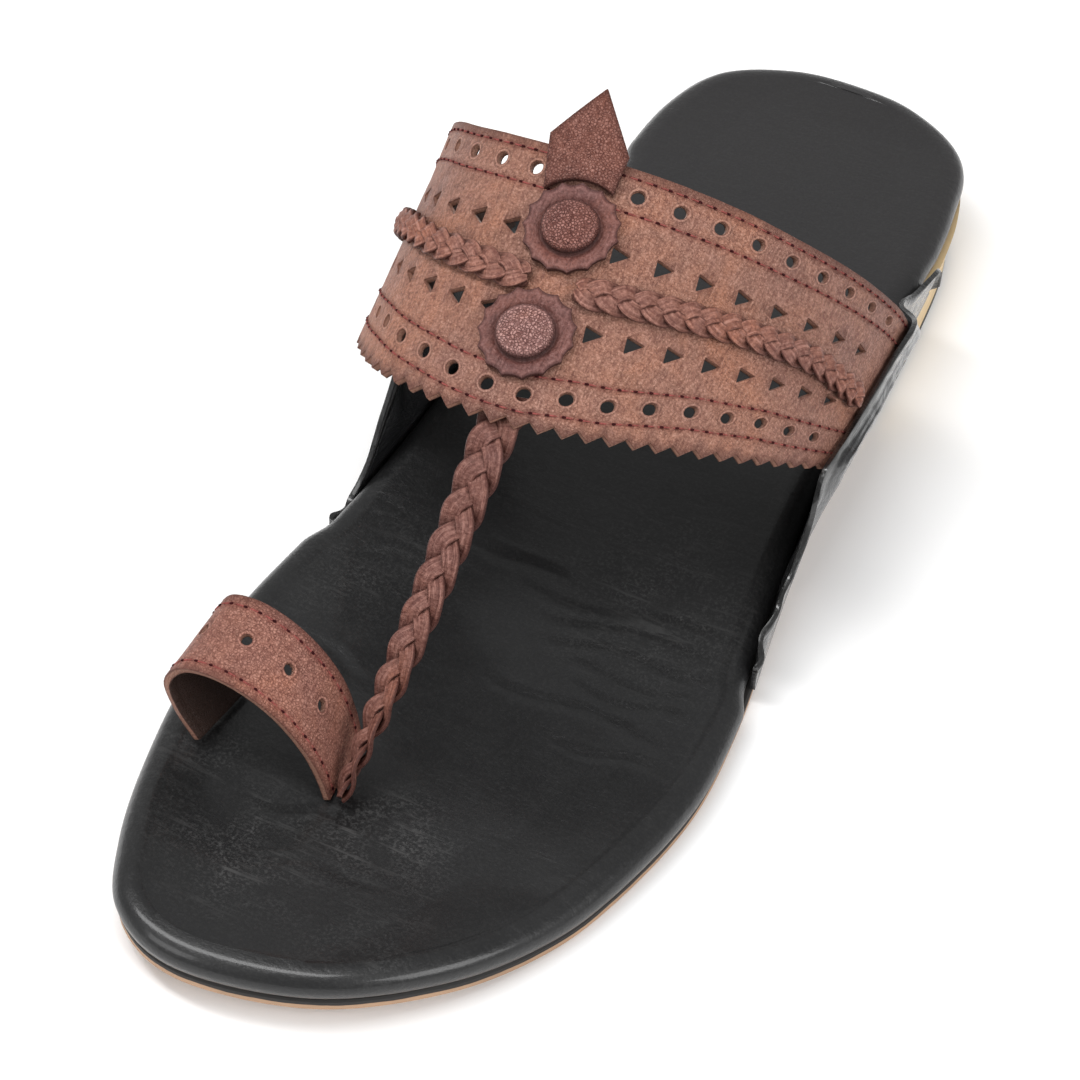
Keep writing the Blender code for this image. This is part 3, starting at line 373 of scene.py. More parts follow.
def flatPiece(name, band, outline, holes, spacing, under, over, material, edgeRound=0.0, pattern=None,
              shade=None, rings=(), edge=cutEdge):
    # cuts a flat pattern, bends it onto the band and gives it its thickness
    loops = [np.asarray(outline)] + [np.asarray(hole) for hole in holes]
    border = np.vstack(loops)
    edges = []
    start = 0
    for ring in loops:
        edges += [(start + k, start + (k + 1) % len(ring)) for k in range(len(ring))]
        start += len(ring)
    low, high = border.min(axis=0), border.max(axis=0)
    grid = np.array([(s, v) for s in np.arange(low[0] + spacing / 2, high[0], spacing)
                     for v in np.arange(low[1] + spacing / 2, high[1], spacing)])
    clear = max(0.6 * spacing, 0.0013 if holes else 0)
    keep = (edgeDistance(grid, loops) > clear) & insideLoop(grid, loops[0])
    for hole in loops[1:]:
        keep &= ~insideLoop(grid, hole)
    collars = list(rings)
    for ring in loops[1:]:
        centre = ring.mean(axis=0)
        radius = np.hypot(*(ring - centre).T).mean()
        collars += [centre + (ring - centre) * (1 + step / radius) for step in holeEdge[0][1:]]
    points = np.vstack([border, grid[keep]] + collars)
    vertices, _, faces, *_ = delaunay_2d_cdt([Vector(p) * 1000 for p in points], edges, [], 1, 1e-5)
    flat = np.array([tuple(v) for v in vertices]) / 1000
    middles = np.array([flat[list(f)].mean(axis=0) for f in faces])
    inside = insideLoop(middles, loops[0])
    for hole in loops[1:]:
        inside &= ~insideLoop(middles, hole)
    kept = [tuple(f) for f, good in zip(faces, inside) if good]
    used = sorted({k for f in kept for k in f})
    number = {old: new for new, old in enumerate(used)}
    flat = flat[used]
    kept = [tuple(number[k] for k in f) for f in kept]
    s, v = flat[:, 0], flat[:, 1]
    sides = dict.fromkeys(pair for f in kept for pair in zip(f, f[1:] + f[:1]))
    rim = [pair for pair in sides if pair[::-1] not in sides]
    size = len(flat)
    solid = np.vstack([band.points(s, v, over(s, v)), band.points(s, v, under(s, v))])
    allFaces = kept + [tuple(k + size for k in f[::-1]) for f in kept]
    allFaces += [(b, a, a + size, b + size) for a, b in rim]
    dark = np.interp(edgeDistance(flat, loops[:1]), *edge)
    if holes:
        away = edgeDistance(flat, loops[1:])
        dark = np.where(away < holeEdge[0][-1], np.interp(away, *holeEdge), dark)
    if shade is not None:
        dark = np.clip(dark + shade(s, v), -1, 1)
    flat = flat if pattern is None else np.c_[s, pattern(s, v)]
    piece = makeMesh(name, solid, allFaces, material, np.vstack([flat, flat]) * 10, shade=np.r_[dark, dark],
                     underside=np.r_[np.zeros(size), np.ones(size)])
    return roundEdges(piece, edgeRound) if edgeRound else piece


def level(height):
    return lambda s, v: np.full(len(s), height)


def tubeMesh(rings, closed=True):
    size, count = len(rings[0]), len(rings)
    faces = [(i * size + k, i * size + (k + 1) % size, (i + 1) * size + (k + 1) % size, (i + 1) * size + k)
             for i in range(count - 1) for k in range(size)]
    faces.append(tuple(range(size)))
    faces.append(tuple((count - 1) * size + k for k in range(size))[::-1])
    return np.vstack(rings), faces


# node materials

class Finish:
    # a Principled material that is built up by short calls
    def __init__(self, name, roughness, coat=0.0, coatRoughness=0.3, specular=0.5):
        self.material = bpy.data.materials.new(name)
        self.material.use_nodes = True
        self.tree = self.material.node_tree
        self.shader = self.tree.nodes["Principled BSDF"]
        self.shader.inputs["Roughness"].default_value = roughness
        self.shader.inputs["Coat Weight"].default_value = coat
        self.shader.inputs["Coat Roughness"].default_value = coatRoughness
        self.shader.inputs["Specular IOR Level"].default_value = specular
        self.place = self.add("ShaderNodeTexCoord").outputs["Object"]
        self.pattern = self.add("ShaderNodeUVMap")
        self.pattern.uv_map = "Pattern"
        self.pattern = self.pattern.outputs["UV"]
        self.lastBump = None

    def add(self, kind, **values):
        node = self.tree.nodes.new(kind)
        for key, value in values.items():
            setattr(node, key, value)
        return node

    def join(self, output, socket):
        self.tree.links.new(output, socket)

    def noise(self, scale, detail=4.0, roughness=0.55, distortion=0.0, where=None):
        node = self.add("ShaderNodeTexNoise")
        node.inputs["Scale"].default_value = scale
        node.inputs["Detail"].default_value = detail
        node.inputs["Roughness"].default_value = roughness
        node.inputs["Distortion"].default_value = distortion
        self.join(where or self.place, node.inputs["Vector"])
        return node.outputs["Fac"]

    def cells(self, scale, feature="DISTANCE_TO_EDGE", where=None):
        node = self.add("ShaderNodeTexVoronoi", feature=feature)
        node.inputs["Scale"].default_value = scale
        self.join(where or self.place, node.inputs["Vector"])
        return node.outputs["Distance"]

    def stretched(self, scale, turn=0.0, where=None):
        node = self.add("ShaderNodeMapping")
        node.inputs["Scale"].default_value = scale
        node.inputs["Rotation"].default_value = (0, 0, math.radians(turn))
        self.join(where or self.place, node.inputs["Vector"])
        return node.outputs["Vector"]

    def near(self, point, radius, strength):
        node = self.add("ShaderNodeVectorMath", operation="DISTANCE")
        self.join(self.place, node.inputs[0])
        node.inputs[1].default_value = point
        return self.span(node.outputs["Value"], radius, 0.2 * radius, 0.0, strength)

    def span(self, output, low, high, start=0.0, end=1.0):
        node = self.add("ShaderNodeMapRange")
        for key, value in (("From Min", low), ("From Max", high), ("To Min", start), ("To Max", end)):
            node.inputs[key].default_value = value
        self.join(output, node.inputs["Value"])
        return node.outputs["Result"]

    def math(self, kind, first, second=0.5, third=0.0):
        node = self.add("ShaderNodeMath", operation=kind)
        for socket, value in zip(node.inputs, (first, second, third)):
            if isinstance(value, (int, float)):
                socket.default_value = value
            else:
                self.join(value, socket)
        return node.outputs["Value"]

    def axis(self, letter, where=None):
        node = self.add("ShaderNodeSeparateXYZ")
        self.join(where or self.place, node.inputs["Vector"])
        return node.outputs[letter]

    def ramp(self, output, stops):
        node = self.add("ShaderNodeValToRGB")
        elements = node.color_ramp.elements
        while len(elements) < len(stops):
            elements.new(0.5)
        for element, (position, colour) in zip(elements, stops):
            element.position = position
            element.color = (*colour, 1.0)
        self.join(output, node.inputs["Fac"])
        return node.outputs["Color"]

    def tones(self, output, base, *stops):
        # the base colour times a factor at each position
        return self.ramp(output, [(position, tuple(c * k for c in base)) for position, k in stops])

    def mix(self, share, first, second, blend="MIX"):
        node = self.add("ShaderNodeMix", data_type="RGBA", blend_type=blend)
        sockets = [s for s in node.inputs if s.enabled]
        for socket, value in zip(sockets, (share, first, second)):
            if isinstance(value, (int, float)):
                socket.default_value = value
            elif isinstance(value, tuple):
                socket.default_value = (*value, 1.0)
            else:
                self.join(value, socket)
        return [s for s in node.outputs if s.enabled][0]

    def bump(self, output, distance, strength=1.0):
        node = self.add("ShaderNodeBump")
        node.inputs["Distance"].default_value = distance
        node.inputs["Strength"].default_value = strength
        self.join(output, node.inputs["Height"])
        if self.lastBump is not None:
            self.join(self.lastBump, node.inputs["Normal"])
        self.lastBump = node.outputs["Normal"]
        self.join(self.lastBump, self.shader.inputs["Normal"])

    def attribute(self, label):
        return self.add("ShaderNodeAttribute", attribute_name=label).outputs["Fac"]

    def colour(self, output):
        self.join(output, self.shader.inputs["Base Color"])

    def rough(self, output):
        self.join(output, self.shader.inputs["Roughness"])


def strapLines(finish, rows, width, depth):
    # grooves pressed along the band at the given places across it, in metres of the pattern
    v = finish.axis("Y", finish.pattern)
    total = None
    for row in rows:
        away = finish.math("ABSOLUTE", finish.math("SUBTRACT", v, row * 10))
        share = finish.math("MINIMUM", finish.math("DIVIDE", away, width * 10), 1.0)
        groove = finish.math("SUBTRACT", 1.0, share)
        total = groove if total is None else finish.math("MAXIMUM", total, groove)
    finish.bump(finish.math("MULTIPLY", total, -1.0), depth)
    return total


# places of the stitch rows across each band, in metres, measured where the strap's front rows don't sway
stitchRows = {"strap": (0.0019, 0.0088, 0.0431, 0.0504), "loop": (0.0021, 0.0146)}


def brownLeather(name, tint, rows=(), pebbleAndShading=0.35, gloss=0.50, fibreAndSheen=0.0, depth=1.0, raw=(0.36, 0.19, 0.135)):
    finish = Finish(name, gloss, specular=0.20)
    deep = tuple(c * k for c, k in zip(tint, (0.42, 0.32, 0.34)))
    pale = tuple(min(1.0, c * k + 0.035) for c, k in zip(tint, (1.75, 1.95, 2.05)))
    warm = finish.ramp(finish.noise(42, 4, 0.62, 0.8), [
        (0.28, tuple(c * k for c, k in zip(tint, (0.80, 0.84, 0.94)))),
        (0.50, tint),
        (0.74, tuple(c * k for c, k in zip(tint, (1.32, 1.15, 0.94)))),
    ])
    mottle = finish.span(finish.noise(230, 4, 0.65), 0.30, 0.70, 0.74, 1.24)
    base = finish.mix(1.0, warm, finish.ramp(mottle, [(0.0, (0.0,) * 3), (1.0, (1.0,) * 3)]), "MULTIPLY")
    grain = finish.noise(1500, 3, 0.7)
    base = finish.mix(finish.span(grain, 0.34, 0.50, 0.70, 0.0), base, deep)
    base = finish.mix(finish.span(grain, 0.52, 0.68, 0.0, 0.45), base, pale)
    # pebble grain: painted shade in the crevices between the cells and a painted highlight on the cells'
    # crowns, besides the bump further down
    edges = finish.cells(1750)
    poresAndCreviceShade = finish.span(edges, 0.0, 0.18)
    base = finish.mix(finish.span(poresAndCreviceShade, 0.0, 1.0, 0.75 * pebbleAndShading, 0.0), base, deep)
    base = finish.mix(finish.span(edges, 0.12, 0.40, 0.0, 0.42 * pebbleAndShading), base, pale)
    wrinkles = finish.noise(170, 4, 0.62, 0.5, finish.stretched((1.0, 0.22, 1.0), 4, finish.pattern))
    base = finish.mix(finish.span(wrinkles, 0.36, 0.47, 0.50, 0.0), base, deep)
    base = finish.mix(finish.span(wrinkles, 0.56, 0.70, 0.0, 0.28), base, pale)
    # fine lines along the laces: painted shade in their hollows and painted highlights on their ridges,
    # besides the bump further down
    if fibreAndSheen:
        fibreLightAndShade = finish.noise(240, 4, 0.65, 0.4, finish.stretched((0.10, 1.0, 1.0), 3, finish.pattern))
        base = finish.mix(finish.span(fibreLightAndShade, 0.36, 0.48, 0.75 * fibreAndSheen, 0.0), base, deep)
        base = finish.mix(finish.span(fibreLightAndShade, 0.54, 0.66, 0.0, 0.50 * fibreAndSheen), base, pale)
    if rows:
        lines = strapLines(finish, rows, 0.0010, 0.00030)
        pressed = (tint[0] * 0.62, tint[1] * 0.32, tint[2] * 0.36)
        base = finish.mix(finish.math("MULTIPLY", lines, 0.42), base, pressed)
    # from the Shade attribute: darker along cut edges, painted shade in the disc's groove round the button
    # and along and under the laces; paler rings round the holes and a painted highlight on the laces
    shade = finish.attribute("Shade")
    base = finish.mix(finish.span(shade, 0.0, 1.0, 0.0, 0.86), base, tuple(c * 0.65 for c in deep))
    base = finish.mix(finish.span(shade, 0.0, -1.0, 0.0, 0.45), base, pale)
    side = finish.attribute("Underside")
    cut = finish.math("MULTIPLY", finish.span(side, 0.10, 0.30), finish.span(side, 0.92, 0.72))
    base = finish.mix(finish.math("MULTIPLY", cut, 0.75), base, raw)
    # darker on the underside, nearly black-brown
    base = finish.mix(finish.span(side, 0.80, 0.97), base, (0.040, 0.022, 0.017))
    finish.colour(base)
    folds = finish.noise(85, 5, 0.66, 0.8, finish.stretched((1.0, 0.55, 0.8)))
    finish.bump(folds, 0.00090 * depth, 0.55)
    finish.bump(wrinkles, 0.00030, 0.8)
    finish.bump(grain, 0.00016, 0.8)
    if fibreAndSheen:
        finish.bump(fibreLightAndShade, 0.00030 * fibreAndSheen, 0.9)
    finish.bump(poresAndCreviceShade, 0.00022 * pebbleAndShading, 1.0)
    finish.rough(finish.span(finish.noise(300, 3), 0.3, 0.7, gloss - 0.08, gloss + 0.10))
    return finish.material


# light dusting of the footbed: place in metres, radius, strength
dustings = [
    ((0.004, -0.096, 0.0145), 0.019, 0.95), ((-0.016, -0.108, 0.0145), 0.024, 0.75),
    ((-0.036, -0.088, 0.0145), 0.018, 0.60), ((0.026, -0.018, 0.0110), 0.027, 0.45),
    ((-0.030, -0.034, 0.0120), 0.022, 0.40), ((0.012, -0.118, 0.0145), 0.016, 0.45),
]


def blackLeather(name, base, roughness, coat, scuffs=0.0, paintedHeelReflection=None, folds=0.0):
    finish = Finish(name, roughness, coat=coat, coatRoughness=0.13, specular=0.30)
    shade = finish.tones(finish.noise(24, 4, 0.6), base, (0.3, 0.75), (0.72, 1.35))
    grain = finish.noise(1500, 3, 0.75)
    # painted reflection: the footbed is painted paler towards the heel, where it catches a brighter
    # reflection
    if paintedHeelReflection:
        heelwardReflection = finish.span(finish.axis("Y"), 0.015, 0.085)
        shade = finish.mix(heelwardReflection, shade, paintedHeelReflection)
    if scuffs:
        dust = None
        for middle, radius, strength in dustings:
            spot = finish.near(middle, radius, strength)
            dust = spot if dust is None else finish.math("MAXIMUM", dust, spot)
        patches = finish.span(finish.noise(75, 4, 0.65, 0.6), 0.36, 0.64)
        hair = finish.noise(620, 3, 0.6, 0.25, finish.stretched((0.085, 1.0, 1.0), 28))
        cross = finish.noise(560, 3, 0.6, 0.25, finish.stretched((0.10, 1.0, 1.0), -34))
        lines = finish.math("MAXIMUM", finish.span(hair, 0.58, 0.66), finish.span(cross, 0.61, 0.70))
        speck = finish.span(grain, 0.47, 0.66)
        marks = finish.math("MAXIMUM", lines, speck)
        worn = finish.math("MULTIPLY", finish.math("MULTIPLY", dust, patches), marks)
        shade = finish.mix(finish.math("MULTIPLY", worn, scuffs), shade, (0.110, 0.108, 0.106))
        shade = finish.mix(finish.math("MULTIPLY", speck, 0.055), shade, (0.10, 0.10, 0.10))
    # from the Shade attribute: painted shade in the footbed's creases and the wings' hem grooves, and a
    # painted highlight on the hem's raised line
    edge = finish.attribute("Shade")
    shade = finish.mix(finish.span(edge, 0.0, 1.0, 0.0, 0.85), shade, (0.003, 0.003, 0.003))
    shade = finish.mix(finish.span(edge, 0.0, -1.0, 0.0, 0.9), shade, (0.075, 0.073, 0.072))
    finish.colour(shade)
    if folds:
        finish.bump(finish.noise(95, 5, 0.62, 1.0, finish.stretched((1.0, 0.7, 1.3))), folds, 0.9)
        finish.bump(finish.math("MULTIPLY", edge, -1.0), 0.0005)
    else:
        lines = finish.noise(190, 5, 0.6, 0.9, finish.stretched((0.32, 1.0, 1.0), 6))
        finish.bump(lines, 0.00050, 0.40)
    finish.bump(finish.noise(520, 3, 0.6), 0.00020, 0.40)
    finish.bump(grain, 0.00010, 0.8)
    finish.rough(finish.span(finish.noise(60, 4, 0.6), 0.3, 0.7, roughness - 0.07, roughness + 0.09))
    return finish.material


def plainLeather(name, base, roughness, layers=0.0, grainScale=700, darkTop=None):
    finish = Finish(name, roughness)
    shade = finish.tones(finish.noise(70, 4, 0.6), base, (0.3, 0.85), (0.7, 1.12))
    if layers:
        layer = finish.math("FRACT", finish.math("DIVIDE", finish.axis("Z"), layers))
        line = finish.math("ABSOLUTE", finish.math("SUBTRACT", layer, 0.5))
        seam = finish.span(line, 0.44, 0.5)
        shade = finish.mix(finish.math("MULTIPLY", seam, 0.35), shade, tuple(c * 0.55 for c in base))
        finish.bump(finish.math("MULTIPLY", seam, -1.0), 0.0002)
    # darker along the top of the edge, with an uneven boundary
    if darkTop:
        blotches = finish.span(finish.noise(160, 3), 0.3, 0.7, -0.25, 0.25)
        uneven = finish.math("ADD", finish.attribute("Shade"), blotches)
        shade = finish.mix(finish.span(uneven, 0.35, 0.6), shade, darkTop)
    finish.colour(shade)
    finish.bump(finish.noise(grainScale, 3, 0.6), 0.0001, 0.8)
    return finish.material


def threadFinish(name, base):
    finish = Finish(name, 0.8, specular=0.08)
    shade = finish.tones(finish.noise(1500, 2), base, (0.35, 0.7), (0.7, 1.3))
    finish.colour(shade)
    finish.bump(finish.noise(5000, 2), 0.00005)
    return finish.material


darkCut = (0.040, 0.016, 0.014)
materials = {
    "strap": brownLeather("strapLeather", (0.287, 0.139, 0.098), stitchRows["strap"]),
    "loop": brownLeather("loopLeather", (0.285, 0.124, 0.088), stitchRows["loop"], pebbleAndShading=0.5),
    "braid": brownLeather("braidLeather", (0.250, 0.110, 0.080), pebbleAndShading=0.1, fibreAndSheen=1.0, depth=0.5),
    "plait": brownLeather("plaitLeather", (0.200, 0.086, 0.064), pebbleAndShading=0.1, fibreAndSheen=1.0, depth=0.5),
    "disc": brownLeather("discLeather", (0.148, 0.060, 0.050), pebbleAndShading=0.15, gloss=0.44, depth=0.6,
                         raw=darkCut),
    "button": brownLeather("buttonLeather", (0.195, 0.080, 0.064), pebbleAndShading=0.9, gloss=0.38, depth=0.3,
                           raw=darkCut),
    "buttonPale": brownLeather("buttonPaleLeather", (0.290, 0.146, 0.126), pebbleAndShading=0.9, gloss=0.38, depth=0.3,
                               raw=(0.060, 0.026, 0.022)),
    "tab": brownLeather("tabLeather", (0.187, 0.072, 0.051), pebbleAndShading=0.6, gloss=0.40, depth=0.5,
                        raw=(0.060, 0.022, 0.018)),
    # the footbed's paler heel colour is a painted reflection
    "insole": blackLeather("footbedLeather", (0.0068, 0.0068, 0.0071), 0.36, 0.32, scuffs=0.6,
                           paintedHeelReflection=(0.017, 0.016, 0.0165)),
    "wing": blackLeather("wingLeather", (0.020, 0.020, 0.021), 0.30, 0.80, folds=0.0019),
    "outsole": plainLeather("outsoleEdge", (0.40, 0.25, 0.155), 0.7, darkTop=(0.012, 0.010, 0.009)),
    "heel": plainLeather("heelStack", (0.63, 0.46, 0.25), 0.5, layers=0.0046),
    "heelBase": plainLeather("heelTopPiece", (0.03, 0.028, 0.026), 0.7),
    "thread": threadFinish("stitchThread", (0.250, 0.068, 0.060)),
    # dark red dots at the needle holes: the thread's red under painted shade of the holes
    "needle": threadFinish("needleHoleShade", (0.036, 0.006, 0.007)),
}
print("materials made:", len(materials))


# sole

def withHeight(points, height):
    return np.c_[points, height(points[:, 1])]


def cutSides(sides, yCut, keepFront):
    kept = []
    for side in sides:
        y = side[:, 1]
        end = np.array([[np.interp(yCut, y, side[:, 0]), yCut]])
        inside = side[y < yCut - 0.0004] if keepFront else side[y > yCut + 0.0004]
        kept.append(np.vstack([inside, end]) if keepFront else np.vstack([end, inside]))
    shortest = min(map(len, kept))
    return [side[-shortest:] if keepFront else side[:shortest] for side in kept]


def layerPiece(name, layers, material, slotName, node, darkTopRows=None):
    # a flat layer of the sole from stacked pairs of sides
    count = len(layers[0][0])
    vertices = np.vstack([side for pair in layers for side in pair])
    faces = []
    for tier in range(len(layers) - 1):
        low, high = 2 * count * tier, 2 * count * (tier + 1)
        for i in range(count - 1):
            faces.append((low + i, low + i + 1, high + i + 1, high + i))
            faces.append((low + count + i, high + count + i, high + count + i + 1, low + count + i + 1))
        for i in (0, count - 1):
            faces.append((low + i, high + i, high + count + i, low + count + i))
    top = 2 * count * (len(layers) - 1)
    for i in range(count - 1):
        faces.append((i, count + i, count + i + 1, i + 1))
        faces.append((top + i, top + i + 1, top + count + i + 1, top + count + i))
    shade = None if darkTopRows is None else np.repeat(darkTopRows, 2 * count)
    return place(makeMesh(name, vertices, faces, material, sharp=40, shade=shade), slotName, node)


def soleLayers():
    breastY = shoe["heelStart"] - shoe["length"] / 2
    fine = soleSides(200)
    layers = []
    # inset, rise, and 1 where the edge is made dark
    profile = ((0.0003, 0.0, 0), (0.0, 0.0003, 0), (0.0, 0.0012, 0), (0.0, 0.0016, 1), (0.0, 0.0022, 1),
               (0.0004, shoe["outsoleThick"], 1))
    for inset, rise, _ in profile:
        sides = cutSides(insetSides(fine, shoe["outsoleInset"] + inset), breastY - gap, True)
        layers.append([withHeight(side, lambda y: groundRise(y) + rise) for side in sides])
    darkTopRows = [row[2] for row in profile]
    layerPiece("outsoleLayer", layers, materials["outsole"], "outsole_tan", "outsole", darkTopRows)
    lowInset = shoe["heelInset"] + shoe["heelTaper"]
    base = []
    for inset, rise in ((0.0003, 0.0), (0.0, 0.0004), (0.0, shoe["topPieceThick"])):
        sides = cutSides(insetSides(fine, lowInset + inset), breastY, False)
        base.append([withHeight(side, lambda y: np.full(len(y), rise)) for side in sides])
    layerPiece("heelTopPiece", base, materials["heelBase"], "heel_base_dark", "heel_top_piece")
    block = []
    low = shoe["topPieceThick"] + gap
    for share in np.linspace(0, 1, 5):
        inset = lowInset - shoe["heelTaper"] * share + 0.0004 * math.sin(math.pi * share)
        sides = cutSides(insetSides(fine, inset), breastY, False)
        block.append([withHeight(side, lambda y: low + (insoleBase(y) - gap - low) * share)
                      for side in sides])
    layerPiece("heelStack", block, materials["heel"], "heel_cream", "heel_block")


# creases of the footbed: x and y of both ends in shares of the ball width and the length,
# width and depth in metres
creases = [
    (-0.30, -0.055, 0.10, -0.075, 0.0011, 0.00022), (-0.05, -0.092, 0.44, -0.070, 0.0009, 0.00026),
    (0.00, -0.106, 0.46, -0.086, 0.0009, 0.00028), (0.02, -0.124, 0.46, -0.108, 0.0010, 0.00030),
    (0.10, -0.140, 0.47, -0.131, 0.0009, 0.00024), (0.14, -0.156, 0.46, -0.150, 0.0009, 0.00022),
    (-0.02, -0.172, 0.44, -0.176, 0.0009, 0.00022), (-0.42, -0.195, -0.15, -0.215, 0.0010, 0.00022),
    (0.16, -0.205, 0.47, -0.200, 0.0009, 0.00020), (-0.38, -0.115, -0.12, -0.095, 0.0010, 0.00020),
    (-0.25, -0.355, 0.02, -0.330, 0.0011, 0.00018), (-0.20, -0.395, 0.12, -0.372, 0.0011, 0.00016),
]


def creaseHeight(x, y):
    height = np.zeros(len(x))
    for x0, y0, x1, y1, width, depth in creases:
        a = np.array([x0 * shoe["ballWidth"], y0 * shoe["length"]])
        b = np.array([x1 * shoe["ballWidth"], y1 * shoe["length"]])
        run = b - a
        share = ((x - a[0]) * run[0] + (y - a[1]) * run[1]) / (run @ run)
        wander = 0.0012 * np.sin(share * 9 + x0 * 30)
        away = ((x - a[0]) * -run[1] + (y - a[1]) * run[0]) / np.linalg.norm(run) + wander
        fade = smooth(share / 0.25) * smooth((1 - share) / 0.25)
        height += fade * depth * (0.5 * np.exp(-((away / width - 1.3) ** 2)) - np.exp(-((away / width) ** 2)))
    return height


def makeInsole():
    roll = [(0.34, 0.0), (0.16, 0.05), (0.05, 0.18), (0.0, 0.42), (0.03, 0.58), (0.11, 0.72), (0.22, 0.83),
            (0.38, 0.925), (0.58, 0.975), (0.80, 1.0)]
    stations, columns = 280, 100
    sides = soleSides(stations)
    size = 2 * stations - 2
    vertices, faces = [], []
    for inset, height in roll:
        medial, lateral = insoleSides(sides, inset * shoe["insoleThick"])
        ring = np.vstack([medial, lateral[-2:0:-1]])
        vertices.append(np.c_[ring, insoleBase(ring[:, 1]) + height * shoe["insoleThick"]])
    vertices = np.vstack(vertices)
    for tier in range(len(roll) - 1):
        low, high = tier * size, (tier + 1) * size
        faces += [(low + i, low + (i + 1) % size, high + (i + 1) % size, high + i) for i in range(size)]

    def lateralIndex(tier, i):
        return tier * size + (i if i in (0, stations - 1) else size - i)

    faces += [(i, lateralIndex(0, i), lateralIndex(0, i + 1), i + 1) for i in range(stations - 1)]
    last = len(roll) - 1
    grid, extra, total = [], [], len(vertices)
    for i in range(stations):
        left, right = last * size + i, lateralIndex(last, i)
        row = [left]
        if 0 < i < stations - 1:
            share = np.arange(1, columns) / columns
            points = vertices[left] * (1 - share[:, None]) + vertices[right] * share[:, None]
            points[:, 2] -= insoleDrop(share, points[:, 0], points[:, 1])
            rimFade = smooth(np.minimum(share, 1 - share) / 0.08)
            points[:, 2] += creaseHeight(points[:, 0], points[:, 1]) * rimFade
            extra.append(points)
            row += list(range(total, total + columns - 1))
            total += columns - 1
        else:
            row += [left] * (columns - 1)
        grid.append(row + [right])
    vertices = np.vstack([vertices] + extra)
    for i in range(stations - 1):
        faces += [(grid[i][k], grid[i][k + 1], grid[i + 1][k + 1], grid[i + 1][k]) for k in range(columns)]
    faces = [tuple(dict.fromkeys(f)) for f in faces]
    faces = [f for f in faces if len(f) > 2]
    # painted shade: the footbed is painted darker along the grooves of its creases
    dark = np.clip(-creaseHeight(vertices[:, 0], vertices[:, 1]) / 0.00030, 0, 1)
    shade = dark * (vertices[:, 2] > 0.006) * 0.5
    piece = makeMesh("footbed", vertices, faces, materials["insole"], sharp=60, shade=shade)
    place(piece, "insole_black", "insole")


soleLayers()
makeInsole()
print("sole made")


# side wings

